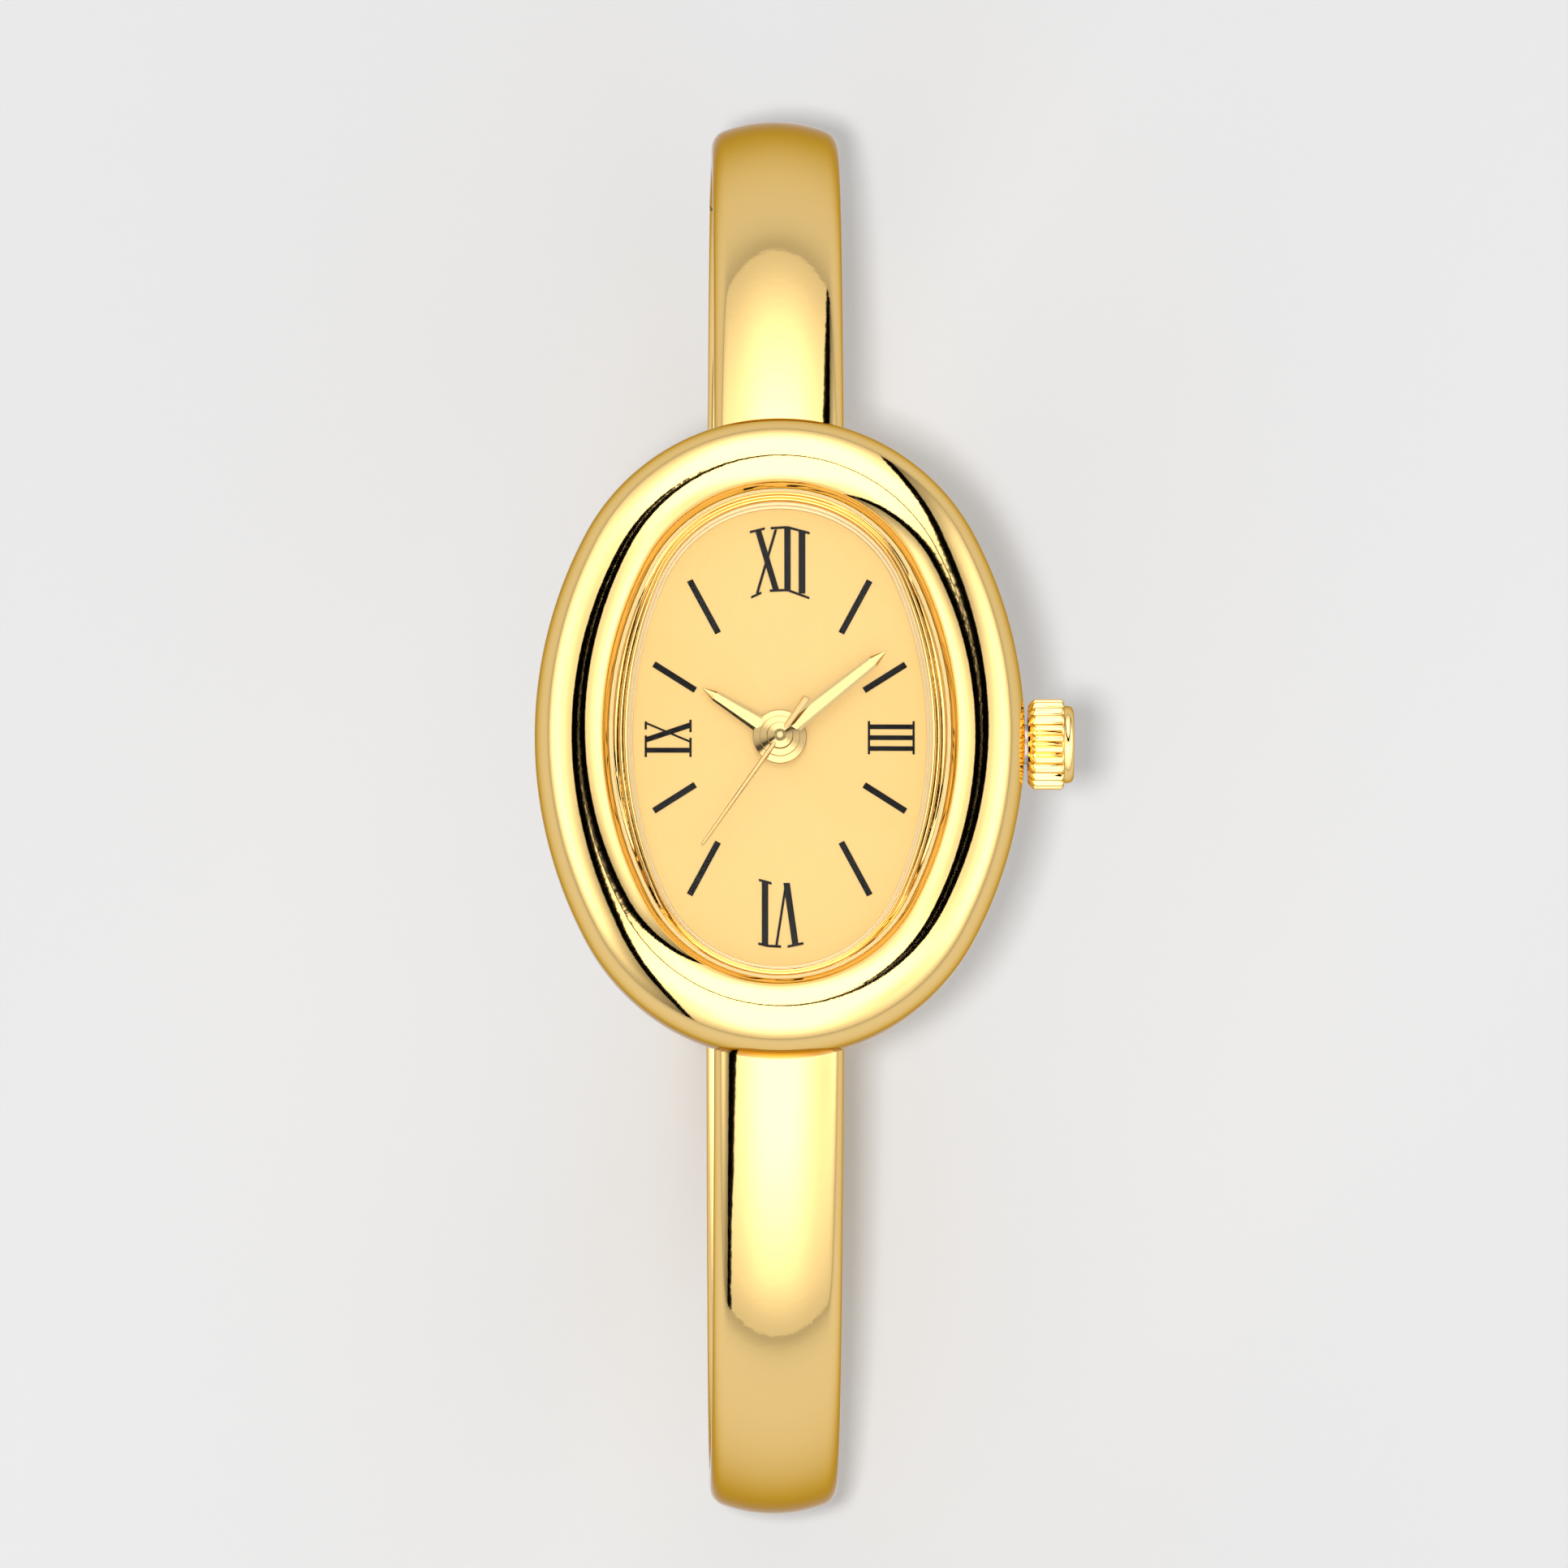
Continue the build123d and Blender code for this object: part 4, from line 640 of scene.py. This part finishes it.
# Colour, metallic, roughness, its spread, grain size in millimetres, strength of the bump,
# share by which the colour darkens, stretch of the grain and level of the sheen
SURFACES = {
    "polished_gold": (GOLD, 1.0, 0.05, 0.03, 0.4, 0.01),
    "gold_ring": ((0.80, 0.62, 0.34), 0.4, 0.26, 0.05, 0.2, 0.02),
    "gold_dial": ((0.86, 0.60, 0.24), 0.2, 0.52, 0.2, 0.06, 0.25, 0.05),
    # The hands' gold is a darker copy of the case's polished gold: painted shade that keeps their
    # mirrored highlights from washing out
    "gold_hands": ((0.56, 0.41, 0.18), 1.0, 0.12, 0.04, 0.1, 0.01),
    "black_ink": ((0.006, 0.006, 0.006), 0.0, 0.6, 0.1, 0.08, 0.05, 0.06, None, 0.15),
    "black_rubber": ((0.03, 0.03, 0.03), 0.0, 0.7, 0.2, 0.1, 0.2),
    "clear_gasket": ((0.80, 0.62, 0.30), 0.3, 0.3, 0.1, 0.2, 0.05),
    "steel": ((0.62, 0.62, 0.61), 1.0, 0.28, 0.2, 0.1, 0.1, 0.1, (1, 12, 1)),
    "brass": ((0.80, 0.60, 0.28), 1.0, 0.3, 0.2, 0.1, 0.1, 0.1, (1, 12, 1)),
    "white_plastic": ((0.8, 0.8, 0.77), 0.0, 0.5, 0.1, 0.2, 0.05),
    "green_board": ((0.03, 0.22, 0.10), 0.0, 0.35, 0.1, 0.3, 0.1),
    "black_chip": ((0.02, 0.02, 0.02), 0.0, 0.5, 0.2, 0.05, 0.3),
    "copper_wire": ((0.72, 0.33, 0.15), 1.0, 0.3, 0.2, 0.1, 0.6, 0.2, (12, 1, 1)),
    "magnet": ((0.25, 0.25, 0.26), 0.8, 0.45, 0.2, 0.06, 0.3),
    "red_jewel": ((0.55, 0.03, 0.08), 0.0, 0.08, 0.04, 0.1, 0.01),
}
# Scales of the noise per metre, and the crystal's values
BROAD_NOISE = 140.0
FINE_DETAIL = 3.0
CRYSTAL_IOR = 1.15
CRYSTAL_SPECULAR = 0.06
SMEAR_NOISE = 300.0
SMEAR_ROUGHNESS = 0.004


class Nodes:
    """Short calls for building a node tree."""

    def __init__(self, tree):
        self.tree = tree
        tree.nodes.clear()

    def add(self, kind, **settings):
        node = self.tree.nodes.new(kind)
        for name, value in settings.items():
            setattr(node, name, value)
        return node

    def feed(self, socket, value):
        if isinstance(value, bpy.types.NodeSocket):
            self.tree.links.new(value, socket)
        else:
            socket.default_value = value

    def math(self, operation, a, b=0.0, c=0.0):
        node = self.add("ShaderNodeMath", operation=operation)
        for socket, value in zip(node.inputs, (a, b, c)):
            self.feed(socket, value)
        return node.outputs[0]

    def smooth(self, value, low, high):
        """0 below low, 1 above high, smooth between."""
        node = self.add("ShaderNodeMapRange", interpolation_type="SMOOTHSTEP")
        self.feed(node.inputs["Value"], value)
        node.inputs["From Min"].default_value = low
        node.inputs["From Max"].default_value = high
        return node.outputs["Result"]

    def span(self, a, b):
        """The length of a vector with two parts."""
        squares = self.math("ADD", self.math("MULTIPLY", a, a), self.math("MULTIPLY", b, b))
        return self.math("SQRT", squares)

    def dimmed(self, value, factor, depth):
        """The value, lowered by a depth where the factor is 1."""
        return self.math("MULTIPLY", value, self.math("MULTIPLY_ADD", factor, -depth, 1.0))

    def mix(self, factor, a, b):
        node = self.add("ShaderNodeMix", data_type="RGBA")
        self.feed(node.inputs["Factor"], factor)
        self.feed(node.inputs["A"], a)
        self.feed(node.inputs["B"], b)
        return node.outputs["Result"]

    def noise(self, scale, detail=2.0, stretch=None):
        where = self.add("ShaderNodeTexCoord").outputs["Object"]
        if stretch:
            mapping = self.add("ShaderNodeMapping")
            self.feed(mapping.inputs["Vector"], where)
            mapping.inputs["Scale"].default_value = stretch
            where = mapping.outputs["Vector"]
        node = self.add("ShaderNodeTexNoise")
        self.feed(node.inputs["Vector"], where)
        node.inputs["Scale"].default_value = scale
        node.inputs["Detail"].default_value = detail
        return node.outputs["Fac"]

    def bump(self, height, strength, distance):
        node = self.add("ShaderNodeBump")
        self.feed(node.inputs["Height"], height)
        node.inputs["Strength"].default_value = strength
        node.inputs["Distance"].default_value = distance
        return node.outputs["Normal"]


def new_material(name):
    """An empty material and its node builder."""
    material = bpy.data.materials.new(name)
    material.use_nodes = True
    nodes = Nodes(material.node_tree)
    output = nodes.add("ShaderNodeOutputMaterial")
    return material, nodes, output


def surface(
    name, colour, metallic, roughness, grain, grain_size, bump, tint=0.06, stretch=None, specular=0.5
):
    """A procedural surface: colour and roughness vary with noise, with a fine bump."""
    material, nodes, output = new_material(name)
    shader = nodes.add("ShaderNodeBsdfPrincipled")
    broad = nodes.noise(BROAD_NOISE)
    fine = nodes.noise(1 / (grain_size * MM), FINE_DETAIL, stretch)
    deep = tuple(channel * (1 - tint) for channel in colour)
    nodes.feed(shader.inputs["Base Color"], nodes.mix(broad, (*deep, 1), (*colour, 1)))
    shader.inputs["Metallic"].default_value = metallic
    shader.inputs["Specular IOR Level"].default_value = specular
    if metallic:
        edge = [EDGE_DIM * channel for channel in colour]
        shader.inputs["Specular Tint"].default_value = (*edge, 1)
    varied = nodes.math("MULTIPLY_ADD", fine, grain, roughness - grain / 2)
    nodes.feed(shader.inputs["Roughness"], varied)
    nodes.feed(shader.inputs["Normal"], nodes.bump(fine, bump, grain_size * MM / 2))
    nodes.feed(output.inputs["Surface"], shader.outputs["BSDF"])
    return material


def glass_material():
    """Clear crystal that lets light through to the dial."""
    material, nodes, output = new_material("clear_crystal")
    shader = nodes.add("ShaderNodeBsdfPrincipled")
    shader.inputs["Base Color"].default_value = (1, 1, 1, 1)
    shader.inputs["Transmission Weight"].default_value = 1.0
    shader.inputs["IOR"].default_value = CRYSTAL_IOR
    shader.inputs["Specular IOR Level"].default_value = CRYSTAL_SPECULAR
    smear = nodes.noise(SMEAR_NOISE)
    nodes.feed(shader.inputs["Roughness"], nodes.math("MULTIPLY", smear, SMEAR_ROUGHNESS))
    clear = nodes.add("ShaderNodeBsdfTransparent")
    path = nodes.add("ShaderNodeLightPath")
    unseen = nodes.math("MAXIMUM", path.outputs["Is Shadow Ray"], path.outputs["Is Diffuse Ray"])
    unseen = nodes.math("MAXIMUM", unseen, path.outputs["Is Glossy Ray"])
    blend = nodes.add("ShaderNodeMixShader")
    nodes.feed(blend.inputs[0], unseen)
    nodes.feed(blend.inputs[1], shader.outputs["BSDF"])
    nodes.feed(blend.inputs[2], clear.outputs["BSDF"])
    nodes.feed(output.inputs["Surface"], blend.outputs["Shader"])
    return material


MATERIALS = {name: surface(name, *values) for name, values in SURFACES.items()}
MATERIALS["crystal_glass"] = glass_material()


def dress(obj, slot):
    """Give an object the material of its slot."""
    obj.data.materials.clear()
    obj.data.materials.append(MATERIALS[slot])


FLOOR_HALF = 4000.0
FLOOR_MOTTLE = 12.0
FLOOR_SHADES = ((0.725, 0.728, 0.738, 1), (0.74, 0.743, 0.753, 1))


def floor():
    """A large pale floor under the band."""
    level = RING_Z - BAND_HALF[1]
    corners = [(-1, -1), (1, -1), (1, 1), (-1, 1)]
    points = [(FLOOR_HALF * x, FLOOR_HALF * y, level) for x, y in corners]
    plane = mesh("floor", points, [(0, 1, 2, 3)])
    material, nodes, output = new_material("pale_floor")
    shader = nodes.add("ShaderNodeBsdfPrincipled")
    mottle = nodes.noise(FLOOR_MOTTLE, FINE_DETAIL)
    nodes.feed(shader.inputs["Base Color"], nodes.mix(mottle, *FLOOR_SHADES))
    shader.inputs["Roughness"].default_value = 1.0
    shader.inputs["Specular IOR Level"].default_value = 0.0
    nodes.feed(output.inputs["Surface"], shader.outputs["BSDF"])
    plane.data.materials.append(material)


# Sky, in degrees from the pivot, the point that level metal mirrors into the camera
SKY_PIVOT = 8.0
SKY_SPAN = 180.0
LEAST = 0.0001
# Black gap: bearing from north round to south by east, distance from the pivot, half width.
# The west half is the east half turned half round.
GAP_TRACK = [
    (0, 175, 5),
    (20, 120, 6),
    (26, 98, 7),
    (31, 78, 8),
    (39, 58, 9),
    (50, 40, 10),
    (63, 21, 12),
    (76, 9, 15),
    (92, 2, 19),
    (112, 0, 18),
    (150, 0, 8),
    (180, 0, 0),
]
GAP_EDGE = 2.0
PIVOT_SPOT = (1.0, 1.6)
DUSK_EDGE = 1.0
DUSK_REACH = 75.0
DUSK_DEPTH = 0.75
DUSK_BEARINGS = (55.0, 95.0)
# Brightness by distance from the pivot, towards the sides and towards the ends of the case
SIDE_LEVELS = [
    (0, 0.7),
    (14, 0.45),
    (28, 0.45),
    (44, 0.65),
    (62, 0.95),
    (76, 1.7),
    (88, 1.2),
    (100, 0.6),
]
END_LEVELS = [(0, 1.0), (14, 1.1), (26, 1.15), (60, 1.12), (100, 1.0)]
ENDWARD_SHARES = (0.3, 0.9)
HORIZON_DIM = 0.7
HORIZON_FADE = (50.0, 93.0)
CORNER_DIM = 0.5
CORNER_ACROSS = (8.0, 38.0)
CORNER_ALONG = (18.0, 50.0)
SKY_PEAK = 2.0
MIRRORED_GAIN = 2.45


def ramp(nodes, factor, stops):
    """Smooth curves through stops, each a place from 0 to 1 and one or two values."""
    node = nodes.add("ShaderNodeValToRGB")
    elements = node.color_ramp.elements
    node.color_ramp.interpolation = "B_SPLINE"
    while len(elements) < len(stops):
        elements.new(0.5)
    for element, (place, *values) in zip(elements, stops):
        element.position = place
        element.color = (values[0], values[-1], 0.0, 1)
    nodes.feed(node.inputs[0], factor)
    split = nodes.add("ShaderNodeSeparateColor")
    nodes.feed(split.inputs[0], node.outputs["Color"])
    return split.outputs


def sky_gap(nodes, across, along, distance):
    """0 in the black gap and 1 beside it, lowered where dusk lies outside the gap's ends."""
    northward = nodes.math("MULTIPLY", along, nodes.math("SIGN", across))
    bearing = nodes.math("ARCTAN2", nodes.math("ABSOLUTE", across), northward)
    bearing = nodes.math("MULTIPLY", bearing, math.degrees(1))
    stops = [(place / 180, far / SKY_SPAN, width / SKY_SPAN) for place, far, width in GAP_TRACK]
    track = ramp(nodes, nodes.math("DIVIDE", bearing, 180), stops)
    beyond = nodes.math("MULTIPLY_ADD", track[0], -SKY_SPAN, distance)
    clear = nodes.math("MULTIPLY_ADD", track[1], -SKY_SPAN, nodes.math("ABSOLUTE", beyond))
    gap = nodes.smooth(clear, -GAP_EDGE, 0.0)
    gap = nodes.math("MULTIPLY", gap, nodes.smooth(distance, *PIVOT_SPOT))
    near = nodes.math("SUBTRACT", 1.0, nodes.smooth(beyond, 0.0, DUSK_REACH))
    near = nodes.math("MULTIPLY", near, nodes.smooth(beyond, -DUSK_EDGE, DUSK_EDGE))
    dusk = nodes.dimmed(near, nodes.smooth(bearing, *DUSK_BEARINGS), 1.0)
    return nodes.dimmed(gap, dusk, DUSK_DEPTH)


def sky_level(nodes, across, along, distance, from_top):
    """Brightness of the sky, dimmer in the corners and at the horizon."""
    share = nodes.math("DIVIDE", distance, SKY_SPAN)
    sides, ends = [
        ramp(nodes, share, [(place / SKY_SPAN, level / SKY_PEAK) for place, level in table])[0]
        for table in (SIDE_LEVELS, END_LEVELS)
    ]
    end_distance = nodes.math("ABSOLUTE", along)
    endwards = nodes.math("DIVIDE", end_distance, nodes.math("MAXIMUM", distance, LEAST))
    endwards = nodes.smooth(endwards, *ENDWARD_SHARES)
    level = nodes.math("MULTIPLY_ADD", endwards, nodes.math("SUBTRACT", ends, sides), sides)
    low = nodes.smooth(from_top, *HORIZON_FADE)
    corner = nodes.smooth(nodes.math("ABSOLUTE", across), *CORNER_ACROSS)
    corner = nodes.math("MULTIPLY", corner, nodes.smooth(end_distance, *CORNER_ALONG))
    corner = nodes.dimmed(corner, low, 1.0)
    return nodes.dimmed(nodes.dimmed(level, corner, CORNER_DIM), low, HORIZON_DIM)


def sky():
    """A bright tent with an S-shaped black gap, stronger where metal mirrors it."""
    world = bpy.data.worlds.new("studio")
    bpy.context.scene.world = world
    world.use_nodes = True
    nodes = Nodes(world.node_tree)
    output = nodes.add("ShaderNodeOutputWorld")
    background = nodes.add("ShaderNodeBackground")
    split = nodes.add("ShaderNodeSeparateXYZ")
    nodes.feed(split.inputs[0], nodes.add("ShaderNodeTexCoord").outputs["Generated"])
    x, y, z = split.outputs
    from_top = nodes.math("MULTIPLY", nodes.math("ARCCOSINE", z), math.degrees(1))
    stretch = nodes.math("DIVIDE", from_top, nodes.math("MAXIMUM", nodes.span(x, y), LEAST))
    across = nodes.math("MULTIPLY", x, stretch)
    along = nodes.math("SUBTRACT", nodes.math("MULTIPLY", y, stretch), SKY_PIVOT)
    distance = nodes.span(across, along)
    gap = sky_gap(nodes, across, along, distance)
    level = sky_level(nodes, across, along, distance, from_top)
    mirrored = nodes.add("ShaderNodeLightPath").outputs["Is Glossy Ray"]
    gain = nodes.math("MULTIPLY_ADD", mirrored, SKY_PEAK * (MIRRORED_GAIN - 1), SKY_PEAK)
    strength = nodes.math("MULTIPLY", gap, nodes.math("MULTIPLY", level, gain))
    background.inputs["Color"].default_value = (1, 1, 1, 1)
    nodes.feed(background.inputs["Strength"], strength)
    nodes.feed(output.inputs["Surface"], background.outputs["Background"])


# Name, place and size in millimetres, power in watts
KEY_LAMP = ("key", (-24, -100, 690), 22, 2.3)


def lamp(name, place, size, power):
    """A square lamp that points at the case and isn't mirrored in the metal."""
    data = bpy.data.lights.new(name, "AREA")
    data.size = size * MM
    data.energy = power
    light = bpy.data.objects.new(name, data)
    bpy.context.collection.objects.link(light)
    light.location = np.array(place) * MM
    light.rotation_euler = (-light.location).to_track_quat("-Z", "Y").to_euler()
    light.visible_glossy = False


def camera():
    """The photograph's view."""
    lift = math.radians(CAMERA_ELEVATION)
    up = np.array([0, math.sin(lift), math.cos(lift)])
    swing = math.radians(CAMERA_SWING)
    back = np.array([math.sin(swing), -math.cos(lift), math.sin(lift) * math.cos(swing)])
    aim = np.array([AIM_RIGHT, 0, AIM_LEVEL]) - AIM_DOWN * up
    data = bpy.data.cameras.new("camera")
    data.sensor_width = SENSOR_WIDTH
    data.lens = CAMERA_LENS
    data.clip_end = FAR_CLIP
    obj = bpy.data.objects.new("camera", data)
    bpy.context.collection.objects.link(obj)
    obj.location = (aim + CAMERA_DISTANCE * back) * MM
    obj.rotation_euler = (math.pi / 2 - lift, swing, 0)
    bpy.context.scene.camera = obj


camera()
bpy.context.scene.view_settings.view_transform = "Standard"
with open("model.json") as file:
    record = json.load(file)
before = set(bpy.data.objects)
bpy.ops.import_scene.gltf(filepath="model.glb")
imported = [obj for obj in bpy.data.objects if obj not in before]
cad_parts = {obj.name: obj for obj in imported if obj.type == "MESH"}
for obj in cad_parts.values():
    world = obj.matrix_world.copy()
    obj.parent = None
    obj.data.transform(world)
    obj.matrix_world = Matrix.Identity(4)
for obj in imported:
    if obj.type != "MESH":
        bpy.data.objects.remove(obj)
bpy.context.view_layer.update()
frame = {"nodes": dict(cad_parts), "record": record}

bodies = frame["record"]["behaviour"]["bodies"]
body_of_node = {node: body for body, members in bodies.items() for node in members}
slot_of_node = {part["node"]: part["material_slot"] for part in frame["record"]["subparts"]}
for node, obj in frame["nodes"].items():
    dress(obj, slot_of_node[node])
    obj.data.shade_smooth()
    obj.data.set_sharp_from_angle(angle=math.radians(CAD_SMOOTH_ANGLE))

made = {
    "case_shell": case_shell(),
    "upper_arm": upper_arm(),
    "rear_arm": rear_arm(),
    "lower_arm": lower_arm(),
    "crown": crown(),
    "crystal": crystal(),
    "dial_ring": dial_ring(),
}
for node in HANDS:
    made[node] = hand(node)
for node, obj in made.items():
    dress(obj, slot_of_node[node])
    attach(obj, body_of_node[node])
    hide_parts(node)

floor()
sky()
lamp(*KEY_LAMP)
